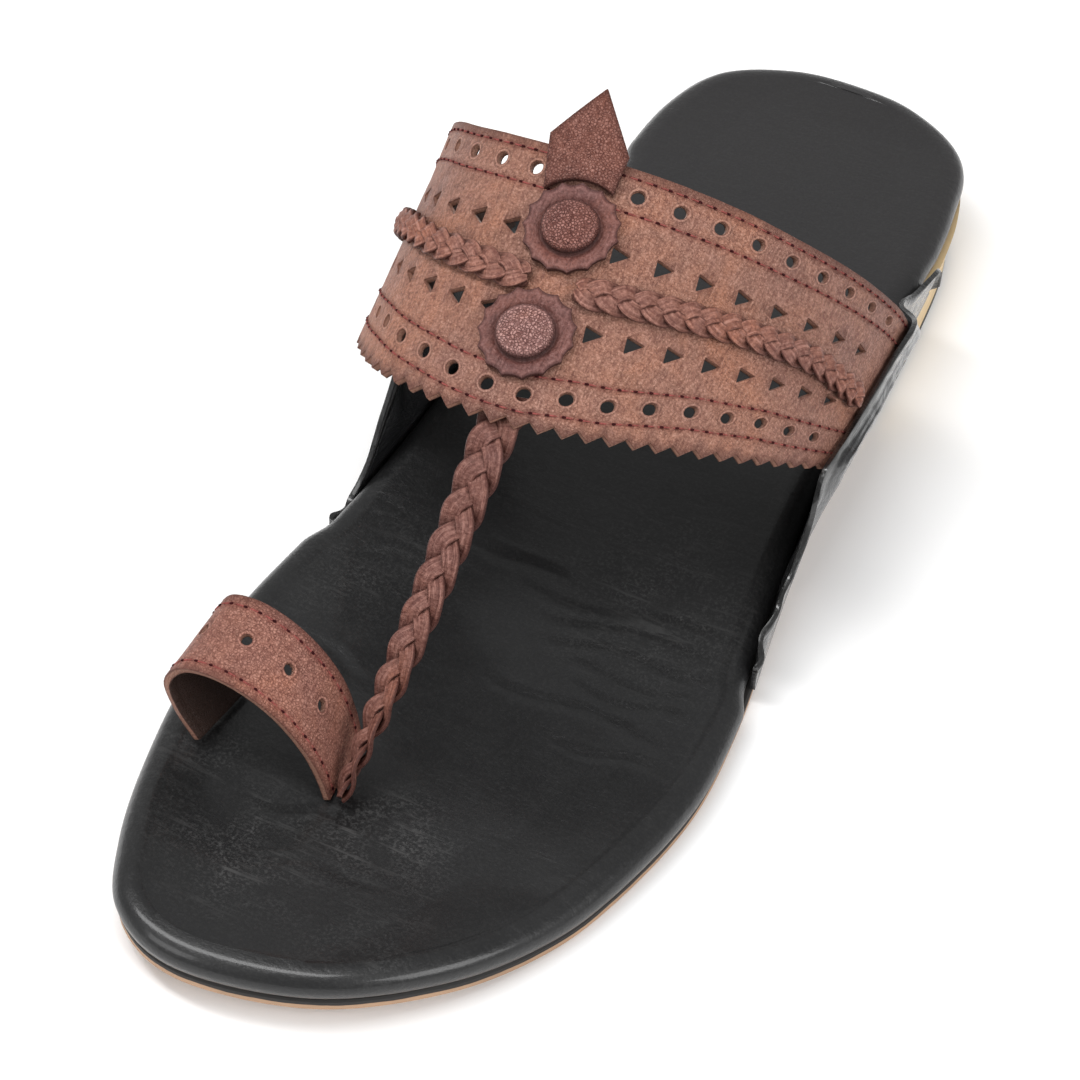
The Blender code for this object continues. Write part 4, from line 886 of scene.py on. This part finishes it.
def makeWing(side):
    way = 1 if side == "lateral" else -1
    edge = soleSides(400)[1 if way > 0 else 0]
    reaches = np.array(wing[side]) * strapShape[side + "Reach"]
    ribs = []
    for share, lateralHeight, medialHeight, lateralFlare, medialFlare, where in wingRibs:
        footY = wing["front"] + share * wing["length"] - shoe["length"] / 2
        footX = np.interp(footY, edge[:, 1], edge[:, 0])
        foot = np.array([footX, footY, insoleBase(np.array([footY]))[0] + gap])
        waist = foot + (0, 0, shoe["insoleThick"] * 0.75)
        if where is None:
            height, flare = (lateralHeight, lateralFlare) if way > 0 else (medialHeight, medialFlare)
            top = foot + (way * flare * wing["flare"], 0.0, shoe["insoleThick"] + height * wing["height"])
            waist = foot + (0, 0, 0.3 * (top - foot)[2])
            ribs.append(spline([foot, waist, waist * 0.5 + top * 0.5, top], 7))
        else:
            v = where * strap.width
            reach = way * (reaches[0] + (reaches[1] - reaches[0]) * np.clip(where, 0, 1))
            stand = 2 * gap + wing["thick"]
            lap = strap.points(reach, v, stand)[0]
            low = strap.points(reach + way * wing["lap"], v, stand)[0]
            ribs.append(spline([foot, waist, low, low * 0.5 + lap * 0.5, lap], 7))
    rows, columns = 150, 28
    ribs = spline(np.array(ribs).reshape(len(ribs), -1), rows).reshape(rows, 7, 3)
    ribs[:, 0, 0] = np.interp(ribs[:, 0, 1], edge[:, 1], edge[:, 0])
    ribs[:, 0, 2] = insoleBase(ribs[:, 0, 1]) + gap
    fine = np.array([spline(rib, columns) for rib in ribs])
    along, up = np.gradient(fine, axis=0), np.gradient(fine, axis=1)
    inward = -way * unit(np.cross(along, up))
    share = np.linspace(0, 1, columns)[None, :] * np.ones((rows, 1))
    forward = smooth(1 - np.linspace(0, 1, rows) / 0.30)[:, None] * share**2
    fine = fine - inward * (0.0007 * np.sin(np.linspace(0, 58, rows))[:, None] * forward)[:, :, None]
    flat = fine.reshape(-1, 3)
    folds = waves(flat * (1, 0.35, 1.6), 0.006, 3.0 * way) * 0.00042
    folds = folds + waves(flat * (1, 1.4, 0.5), 0.004, 9.0) * 0.00022
    folds = folds.reshape(rows, columns) * smooth(share / 0.15) * smooth((1 - share) / 0.10 + 0.25)
    outer = fine - inward * (folds * 0.8 - 0.0002)[:, :, None]
    inner = fine + inward * wing["thick"]
    # painted shade and highlight along the hem: darker at the top border and in a groove below it, paler on
    # the raised line between
    hemLightAndShade = smooth((share - 0.955) / 0.03) + 0.7 * np.exp(-(((share - 0.80) / 0.03) ** 2))
    hemLightAndShade = (hemLightAndShade - 0.9 * np.exp(-(((share - 0.89) / 0.04) ** 2))).ravel()
    size = rows * columns
    index = np.arange(size).reshape(rows, columns)
    vertices = np.vstack([outer.reshape(-1, 3), inner.reshape(-1, 3)])
    faces = []
    for i in range(rows - 1):
        for k in range(columns - 1):
            f = (index[i, k], index[i + 1, k], index[i + 1, k + 1], index[i, k + 1])
            faces += [f, tuple(n + size for n in f[::-1])]
    border = [(index[i, k], index[i + 1, k]) for i in range(rows - 1) for k in (0, columns - 1)]
    border += [(index[i, k], index[i, k + 1]) for k in range(columns - 1) for i in (0, rows - 1)]
    faces += [(a, b, b + size, a + size) for a, b in border]
    mesh = makeMesh("sideWing_" + side, vertices, faces, materials["wing"], shade=np.r_[hemLightAndShade, hemLightAndShade])
    piece = roundEdges(mesh, 0.0003)
    place(piece, "wing_black", "wing_" + side)


makeWing("lateral")
makeWing("medial")
print("wings made")


# instep strap

rowPlaces = {"rearRosette": 0.28, "frontRosette": 0.68, "frontHoles": 0.857}
# place across, kind, medial count, lateral count, first medial hole, first lateral hole, lateral pitch
holeRows = [
    (0.095, "round", 6, 9, 1.364, 1.080, 1.00),
    (0.315, "triangle", 6, 8, 1.398, 1.216, 1.05),
    (0.615, "triangle", 6, 8, 1.136, 1.409, 1.00),
    (rowPlaces["frontHoles"], "round", 7, 9, 0.455, 0.500, 1.01),
]


def strapHoles():
    holes = []
    for row, kind, medial, lateral, firstIn, firstOut, lateralPitch in holeRows:
        pitch = strapShape["holePitch"]
        places = [(-(firstIn + k) * pitch, -1) for k in range(medial)]
        places += [((firstOut + k * lateralPitch) * pitch, 1) for k in range(lateral)]
        for s, way in places:
            squeeze = strap.squeeze(row * strap.width)
            if kind == "round":
                v = row * strap.width + (rowSway(s) if row == rowPlaces["frontHoles"] else 0.0)
                holes.append(circle((s, v), strapShape["holeDiameter"] / 2, 20, squeeze))
            else:
                holes.append(triangle((s, row * strap.width), strapShape["triangleSide"], way, squeeze))
    return holes


def strapOutline():
    medial, lateral = -strapShape["medialReach"], strapShape["lateralReach"]
    rear = [(s, 0.0) for s in np.linspace(medial, lateral, 110)]
    medial, lateral = medial + strapShape["endSlant"], lateral - strapShape["endSlant"]
    teeth = round((lateral - medial) * strap.frontShare / strapShape["pinkPitch"])
    step = (lateral - medial) / teeth
    front = []
    for k in range(teeth):
        s = lateral - k * step
        deep = strap.width - strapShape["pinkDepth"]
        front += [(s, strap.width), (s - step * 0.25, (strap.width + deep) / 2), (s - step * 0.5, deep),
                  (s - step * 0.75, (strap.width + deep) / 2)]
    front.append((medial, strap.width))
    return rear + front


def makeStrap():
    def over(s, v):
        points = np.c_[s, v, 0 * s]
        broad = 0.00024 * waves(points, 0.014, 5.0)
        return broad + 0.00012 * waves(points * (1.6, 0.7, 1), 0.0045, 8.0) - 0.00024

    piece = flatPiece("instepStrap", strap, strapOutline(), strapHoles(), 0.0024, level(-strapShape["thick"]),
                      over, materials["strap"], strapShape["edgeRound"], straightened)
    place(piece, "strap_brown", "instep_strap")


makeStrap()
print("strap made")


# discs, buttons and tab

disc = {"diameter": 0.0182, "thick": 0.0015, "cusps": 15, "scallop": 0.0004, "button": 0.0104,
        "buttonHeight": 0.0019, "groove": 0.0006}
tab = {"thick": 0.0014, "length": 0.0130, "width": 0.0160}


def makeRosette(name, row):
    centre = np.array([0.0, row * strap.width])
    squeeze = strap.squeeze(centre[1])
    turn = np.linspace(0, 2 * math.pi, disc["cusps"] * 6, endpoint=False)
    scoop = np.abs(np.sin(turn * disc["cusps"] / 2)) ** 0.8
    radius = disc["diameter"] / 2 - 1.7 * disc["scallop"] * scoop

    def ring(r):
        return np.c_[centre[0] + r * np.cos(turn) / squeeze, centre[1] + r * np.sin(turn)]

    rim = disc["button"] / 2

    def fromCentre(s, v):
        return np.hypot((s - centre[0]) * squeeze, v - centre[1])

    def over(s, v):
        away = fromCentre(s, v)
        turnHere = np.arctan2(v - centre[1], (s - centre[0]) * squeeze)
        petals = 0.00012 * np.cos(turnHere * disc["cusps"]) * smooth((away - rim) / 0.0020)
        groove = -disc["groove"] * np.exp(-(((away - rim - 0.0004) / 0.0005) ** 2))
        return gap + disc["thick"] + petals + groove - 0.0002

    # painted shade in the groove round the button
    def paintedGrooveShade(s, v):
        return np.exp(-(((fromCentre(s, v) - rim - 0.0001) / 0.0004) ** 2))

    lines = [ring(radius - step) for step in discEdge[0][1:]]
    lines += [ring(rim + step) for step in (0.0001, 0.0005, 0.0009)]
    piece = flatPiece("scallopedDisc_" + name, strap, ring(radius), [], 0.0008, level(gap), over,
                      materials["disc"], 0.00012, shade=paintedGrooveShade, rings=lines, edge=discEdge)
    place(piece, "rosette_plum", "rosette_" + name)
    seat = 2 * gap + disc["thick"] - disc["groove"]

    def dome(s, v):
        away = fromCentre(s, v) / rim
        swell = 0.22 + 0.78 * np.sqrt(np.clip(1 - away**2.4, 0, 1))
        return seat + disc["groove"] + disc["buttonHeight"] * swell

    lines = [circle(centre, rim - step, 72, squeeze) for step in discEdge[0][1:]]
    material = materials["button" if name == "rear" else "buttonPale"]
    edge = circle(centre, rim, 72, squeeze)
    piece = flatPiece("button_" + name, strap, edge, [], 0.0005, level(seat), dome, material, rings=lines,
                      edge=discEdge)
    place(piece, "rosette_plum", "button_" + name)


def makeTab():
    centreV = rowPlaces["rearRosette"] * strap.width
    clear = disc["diameter"] / 2 + gap * 2
    wide, far = tab["width"], tab["length"]
    corners = [(0.31 * wide, -0.09 * far), (-0.23 * wide, -far), (-0.69 * wide, -0.11 * far)]
    arc = [(s, centreV - math.sqrt(clear**2 - (s * strap.squeeze(centreV)) ** 2))
           for s in np.linspace(-0.50 * wide, 0.31 * wide, 16)]
    rough = np.array(corners + arc)
    outline = []
    for a, b in zip(rough, np.roll(rough, -1, 0)):
        pieces = max(1, int(np.hypot(*(b - a)) / 0.001))
        outline += [a + (b - a) * k / pieces for k in range(pieces)]
    piece = flatPiece("leafTab", strap, outline, [], 0.0012, level(gap), level(gap + tab["thick"]),
                      materials["tab"], 0.00030)
    place(piece, "tab_red_brown", "leaf_tab")


makeRosette("rear", rowPlaces["rearRosette"])
makeRosette("front", rowPlaces["frontRosette"])
makeTab()
print("discs and tab made")


# braids: three flat laces that pass over and under each other

braid = {"width": 0.0064, "thick": 0.0024, "pitch": 0.0138, "lace": 0.0033, "laceThick": 0.00095, "sides": 20,
         "lateral": (0.062, 0.850), "medial": (0.045, 0.745)}
plait = {"topWidth": 0.0092, "footWidth": 0.0056, "thick": 0.0034, "pitch": 0.0205, "tuck": 0.0070,
         "bow": 0.0004}
# share of the strap's reach, then the braid's lateral and medial place, as shares of the strap's width
braidLine = np.array([
    (0.000, 0.488, 0.488), (0.120, 0.480, 0.486), (0.300, 0.464, 0.472), (0.430, 0.453, 0.458),
    (0.570, 0.459, 0.450), (0.660, 0.474, 0.450), (0.740, 0.512, 0.455), (0.870, 0.578, 0.475),
])


def laceRing(centre, side, face, width, thick, tilt):
    # a flat lace with its edges folded in, so two shallow lines run along it
    turn = np.linspace(0, 2 * math.pi, braid["sides"], endpoint=False) - math.pi / 2
    a, b = np.cos(turn), np.sin(turn)
    flatA = np.sign(a) * np.abs(a) ** 0.75
    flatB = np.sign(b) * np.abs(b) ** 0.70 * (1 - 0.42 * np.exp(-(((np.abs(flatA) - 0.45) / 0.14) ** 2)))
    across = side * math.cos(tilt) + face * math.sin(tilt)
    off = face * math.cos(tilt) - side * math.sin(tilt)
    return centre + np.outer(flatA, across) * width / 2 + np.outer(flatB, off) * thick / 2


def joinParts(parts):
    vertices, faces, start = [], [], 0
    for v, f in parts:
        vertices.append(v)
        faces += [tuple(k + start for k in face) for face in f]
        start += len(v)
    return np.vstack(vertices), faces


def lacePaintedShade(count, lift):
    # painted shade along both edges and the folded lines, and where the lace passes under; a painted
    # highlight on its crown
    turn = np.linspace(0, 2 * math.pi, braid["sides"], endpoint=False) - math.pi / 2
    a = np.abs(np.cos(turn)) ** 0.75
    lines = np.exp(-(((a - 1.0) / 0.13) ** 2)) + 0.35 * np.exp(-(((a - 0.45) / 0.10) ** 2))
    lines = lines - 0.22 * np.exp(-(((a - 0.78) / 0.12) ** 2))
    # painted shade where the lace dips under the others
    under = np.clip(0.60 - np.asarray(lift), 0, 1)[:, None] * 1.3
    return np.clip(lines[None, :] + under, -1, 1).ravel()


def laceUv(run):
    around = np.linspace(0, 1, braid["sides"], endpoint=False) * braid["lace"] * 2.4
    return np.array([(u * 10, v * 10) for u in run for v in around])


def makeInstepBraid(name):
    way = 1 if name == "lateral" else -1
    reach = strapShape[name + "Reach"]
    start, end = braid[name][0] * reach, braid[name][1] * reach
    length = end - start
    count = int(length / 0.0005)
    run = np.linspace(0, length, count)
    line = spline(np.c_[braidLine[:, 0] * reach, braidLine[:, 1 if way > 0 else 2] * strap.width], 60)
    vMid = np.interp(start + run, line[:, 0], line[:, 1])
    parts, shades, patterns = [], [], []
    fromEnd, taper = np.minimum(run, length - run), braid["width"] * 0.42
    rounding = np.sqrt(np.clip(1 - (1 - fromEnd / taper) ** 2, 0.05, 1))
    rounding[fromEnd > taper] = 1.0
    for k in range(3):
        turn = 2 * math.pi * run / braid["pitch"] + 2 * math.pi * k / 3
        half = braid["width"] / 2 - braid["lace"] * 0.46
        across = half * np.sin(turn + 0.2 * np.sin(2 * turn)) * rounding
        lift = 0.5 + 0.5 * np.sin(2 * turn)
        low, high = gap + braid["laceThick"] * 0.55, gap + braid["thick"] - braid["laceThick"] * 0.5
        height = low + (high - low) * lift * (0.5 + 0.5 * rounding)
        s = way * (start + run)
        middle = strap.points(s, vMid + across, height)
        up = unit(strap.points(s, vMid + across, height + 0.001) - middle)
        along = unit(np.gradient(middle, axis=0))
        side = unit(np.cross(along, up))
        face = np.cross(side, along)
        slope = np.gradient(across, run)
        rings = []
        for i in range(count):
            tilt = -0.34 * math.sin(turn[i]) * way
            wide = braid["lace"] * (0.55 + 0.45 * rounding[i])
            rings.append(laceRing(middle[i], side[i], face[i], wide, braid["laceThick"], tilt))
        parts.append(tubeMesh(rings))
        shades.append(lacePaintedShade(count, lift))
        patterns.append(laceUv(run + 0.02 * k))
    vertices, faces = joinParts(parts)
    piece = makeMesh("instepBraid_" + name, vertices, faces, materials["braid"], np.vstack(patterns), 70,
                     np.hstack(shades))
    place(piece, "braid_brown", "instep_braid_" + name)


def makeToePlait():
    thick = strapShape["thick"]
    middle = 0.13 * plait["topWidth"]
    top = strap.points(middle, strap.width - plait["tuck"], -thick - gap - plait["thick"] * 0.66)[0]
    lip = strap.points(middle, strap.width + plait["thick"], -thick - gap - plait["thick"] * 0.72)[0]
    bow = np.array([plait["bow"], 0.0, -0.7 * plait["bow"]])
    footX = loopShape["footX"] + loopShape["span"] + gap + plait["thick"] * 0.42
    footY = loopShape["footY"] - shoe["length"] / 2 + 0.05 * loopShape["width"]
    foot = np.array([footX, footY, insoleTop(footX, footY) + plait["thick"] * 0.6])
    stops = [lip * (1 - k) + foot * k + 4 * k * (1 - k) * bow for k in (0.25, 0.5, 0.75)]
    path = spline([top, lip] + stops + [foot], 240)
    run = np.r_[0.0, np.cumsum(np.linalg.norm(np.diff(path, axis=0), axis=1))]
    share = run / run[-1]
    along = unit(np.gradient(path, axis=0))
    width = plait["topWidth"] + (plait["footWidth"] - plait["topWidth"]) * share**0.8
    depth = plait["thick"] * (1 - 0.22 * share)
    twist = math.radians(-52) * smooth((share - 0.55) / 0.45)
    side0 = unit(np.cross(along, [0.0, 0.0, 1.0]))
    face0 = np.cross(side0, along)
    cosine, sine = np.cos(twist)[:, None], np.sin(twist)[:, None]
    side, face = side0 * cosine + face0 * sine, face0 * cosine - side0 * sine
    parts, shades, patterns = [], [], []
    for k in range(3):
        turn = 2 * math.pi * run / plait["pitch"] + 2 * math.pi * k / 3
        lace = width * 0.50
        across = (width / 2 - lace * 0.45) * np.sin(turn + 0.2 * np.sin(2 * turn))
        lift = depth * 0.32 * np.sin(2 * turn)
        middle = path + side * across[:, None] + face * lift[:, None]
        direction = unit(np.gradient(middle, axis=0))
        laceSide = unit(np.cross(direction, face))
        laceFace = np.cross(laceSide, direction)
        tilt = 0.30 * np.sin(turn)
        rings = [laceRing(middle[i], laceSide[i], laceFace[i], lace[i], depth[i] * 0.36, tilt[i])
                 for i in range(len(path))]
        parts.append(tubeMesh(rings))
        shades.append(lacePaintedShade(len(path), 0.5 + 0.5 * np.sin(2 * turn)))
        patterns.append(laceUv(run + 0.03 * k))
    vertices, faces = joinParts(parts)
    piece = makeMesh("toePlait", vertices, faces, materials["plait"], np.vstack(patterns), 70,
                     np.hstack(shades))
    place(piece, "braid_brown", "toe_plait")


makeInstepBraid("lateral")
makeInstepBraid("medial")
makeToePlait()
print("braids made")


# toe loop

def makeToeLoop():
    first, last = loop.rearS[0], loop.rearS[-1]
    outline = [(s, 0.0) for s in np.linspace(first, last, 70)]
    outline += [(s, loop.width) for s in np.linspace(last, first, 70)]
    holes = [circle((s, loopShape["holePlace"] * loop.width), loopShape["holeDiameter"] / 2, 20)
             for s in (np.arange(5) - 2.1) * loopShape["holePitch"]]

    def over(s, v):
        return 0.00012 * waves(np.c_[s, v, 0 * s], 0.008, 2.0) - 0.00010

    piece = flatPiece("toeLoop", loop, outline, holes, 0.0016, level(-loopShape["thick"]), over,
                      materials["loop"], loopShape["edgeRound"])
    place(piece, "strap_brown", "toe_loop")


makeToeLoop()
print("toe loop made")


# stitches by geometry nodes

stitch = {"pitch": 0.0031, "length": 0.0027, "width": 0.00034, "hole": 0.00050, "holeLength": 0.00092}


def stitchTree(material):
    # instances one short thread at each step of a path
    tree = bpy.data.node_groups.new("stitchRow", "GeometryNodeTree")
    tree.interface.new_socket("Geometry", in_out="INPUT", socket_type="NodeSocketGeometry")
    for label in ("Pitch", "Length", "Width"):
        tree.interface.new_socket(label, in_out="INPUT", socket_type="NodeSocketFloat")
    tree.interface.new_socket("Geometry", in_out="OUTPUT", socket_type="NodeSocketGeometry")
    nodes, links = tree.nodes, tree.links
    start, end = nodes.new("NodeGroupInput"), nodes.new("NodeGroupOutput")
    steps = nodes.new("GeometryNodeCurveToPoints")
    steps.mode = "LENGTH"
    links.new(start.outputs["Geometry"], steps.inputs["Curve"])
    links.new(start.outputs["Pitch"], steps.inputs["Length"])
    ball = nodes.new("GeometryNodeMeshUVSphere")
    ball.inputs["Segments"].default_value = 8
    ball.inputs["Rings"].default_value = 6
    ball.inputs["Radius"].default_value = 0.5
    size = nodes.new("ShaderNodeCombineXYZ")
    links.new(start.outputs["Width"], size.inputs["X"])
    links.new(start.outputs["Width"], size.inputs["Y"])
    links.new(start.outputs["Length"], size.inputs["Z"])
    lay = nodes.new("GeometryNodeInstanceOnPoints")
    links.new(steps.outputs["Points"], lay.inputs["Points"])
    links.new(ball.outputs["Mesh"], lay.inputs["Instance"])
    links.new(steps.outputs["Rotation"], lay.inputs["Rotation"])
    links.new(size.outputs["Vector"], lay.inputs["Scale"])
    real = nodes.new("GeometryNodeRealizeInstances")
    links.new(lay.outputs["Instances"], real.inputs["Geometry"])
    paint = nodes.new("GeometryNodeSetMaterial")
    paint.inputs["Material"].default_value = material
    links.new(real.outputs["Geometry"], paint.inputs["Geometry"])
    links.new(paint.outputs["Geometry"], end.inputs["Geometry"])
    return tree


def makeStitches(name, paths, size, material, slotName):
    curve = bpy.data.curves.new(name + "Path", "CURVE")
    curve.dimensions = "3D"
    for points in paths:
        line = curve.splines.new("POLY")
        line.points.add(len(points) - 1)
        line.points.foreach_set("co", np.c_[points + (shoe["shiftX"], 0, 0), np.ones(len(points))].ravel())
    source = bpy.data.objects.new(name + "Path", curve)
    bpy.context.scene.collection.objects.link(source)
    modifier = source.modifiers.new("stitches", "NODES")
    modifier.node_group = stitchTree(material)
    wanted = {"Pitch": stitch["pitch"], "Length": size[0], "Width": size[1]}
    for item in modifier.node_group.interface.items_tree:
        if item.in_out == "INPUT" and item.name in wanted:
            modifier[item.identifier] = wanted[item.name]
    bpy.context.view_layer.update()
    mesh = bpy.data.meshes.new_from_object(source.evaluated_get(bpy.context.evaluated_depsgraph_get()))
    bpy.data.objects.remove(source)
    mesh.shade_smooth()
    piece = bpy.data.objects.new(name, mesh)
    bpy.context.scene.collection.objects.link(piece)
    place(piece, slotName)


def swayedRow(s, v):
    # the band's place of a stitch row that follows the sway of the strap's front rows
    return v + (0.85 * rowSway(s) if v > 0.6 * strap.width else 0.0)


def stitchRun(band, v, first, last, height, swayed=False):
    s = np.linspace(first, last, 300)
    return band.points(s, swayedRow(s, v) if swayed else v, height)


def stitchAll():
    half = stitch["pitch"] / 2
    thread, needle = (stitch["length"], stitch["width"]), (stitch["holeLength"], stitch["hole"])
    first, last = loop.rearS[0] + 0.002, loop.rearS[-1] - 0.002
    # the Needle rows put dark dots of painted hole shade at the holes, between the thread stitches
    kinds = (("Thread", half, thread, "thread", -0.00012), ("Needle", 0, needle, "needle", -0.00006))
    for label, shift, size, material, height in kinds:
        paths = [stitchRun(strap, v, -0.0885 + shift, 0.0895, height, True) for v in stitchRows["strap"]]
        makeStitches("strap" + label, paths, size, materials[material], "strap_brown")
        paths = [stitchRun(loop, v, first + shift, last, height) for v in stitchRows["loop"]]
        makeStitches("loop" + label, paths, size, materials[material], "strap_brown")


stitchAll()
print("stitches made")


# floor, light and camera

studio = {"azimuth": 27.098, "elevation": 43.642, "distance": 0.7884, "target": (-0.05163, 0.01331),
          "roll": 1.1768, "focal": 3141.54, "imageSize": 1080, "pan": (127.0, 103.0), "zoom": 1.2,
          "floor": (0.95, 0.95, 0.95), "floorHalf": 4.0}


def makeFloor():
    mesh = bpy.data.meshes.new("floor")
    half = studio["floorHalf"]
    corners = [(-half, -half, 0), (half, -half, 0), (half, half, 0), (-half, half, 0)]
    mesh.from_pydata(corners, [], [(0, 1, 2, 3)])
    material = bpy.data.materials.new("floorWhite")
    material.use_nodes = True
    shader = material.node_tree.nodes["Principled BSDF"]
    shader.inputs["Base Color"].default_value = (*studio["floor"], 1.0)
    shader.inputs["Roughness"].default_value = 0.9
    mesh.materials.append(material)
    floor = bpy.data.objects.new("floor", mesh)
    bpy.context.scene.collection.objects.link(floor)


def softBox(name, position, aim, along, size, power):
    # a flat lamp whose long side runs along the given direction
    light = bpy.data.lights.new(name, "AREA")
    light.shape = "RECTANGLE"
    light.size, light.size_y = size
    light.energy = power
    lamp = bpy.data.objects.new(name, light)
    back = (Vector(position) - Vector(aim)).normalized()
    side = (Vector(along) - back * back.dot(Vector(along))).normalized()
    turn = Matrix((side, back.cross(side), back)).transposed().to_4x4()
    lamp.matrix_world = Matrix.Translation(position) @ turn
    bpy.context.scene.collection.objects.link(lamp)


def makeStudio():
    softBox("overheadSoftBox", (-0.33, -0.16, 1.12), (0, -0.03, 0), (1.0, -0.13, 0.27), (1.25, 0.26), 11.5)
    softBox("frontSoftBox", (-0.7, -1.10, 0.85), (0, 0, 0.03), (1, 0, 0), (0.8, 0.6), 6)
    softBox("sideSoftBox", (1.15, -0.35, 0.80), (0, 0, 0.03), (0, 1, 0), (0.8, 0.6), 10)
    world = bpy.data.worlds.new("studio")
    world.use_nodes = True
    world.node_tree.nodes["Background"].inputs["Color"].default_value = (1.0, 1.0, 1.0, 1.0)
    world.node_tree.nodes["Background"].inputs["Strength"].default_value = 0.46
    bpy.context.scene.world = world
    bpy.context.scene.view_settings.view_transform = "Standard"


def makeCamera():
    azimuth, elevation, roll = (math.radians(studio[k]) for k in ("azimuth", "elevation", "roll"))
    flat = math.cos(elevation)
    back = Vector((math.sin(azimuth) * flat, -math.cos(azimuth) * flat, math.sin(elevation)))
    right = Vector((math.cos(azimuth), math.sin(azimuth), 0))
    up = back.cross(right)
    side = right * math.cos(roll) + up * math.sin(roll)
    top = up * math.cos(roll) - right * math.sin(roll)
    target = Vector((studio["target"][0] + shoe["shiftX"], studio["target"][1], 0))
    stand = target + back * studio["distance"]
    # the camera stays where it is and turns to the middle of the one shoe
    across, down = (step / studio["focal"] for step in studio["pan"])
    back = (back - side * across + top * down).normalized()
    side = (side - back * side.dot(back)).normalized()
    data = bpy.data.cameras.new("camera")
    data.sensor_width = 36
    data.lens = studio["focal"] * studio["zoom"] / studio["imageSize"] * 36
    camera = bpy.data.objects.new("camera", data)
    turn = Matrix((side, back.cross(side), back)).transposed().to_4x4()
    camera.matrix_world = Matrix.Translation(stand) @ turn
    bpy.context.scene.collection.objects.link(camera)
    bpy.context.scene.camera = camera


makeFloor()
makeStudio()
makeCamera()
print("studio made")
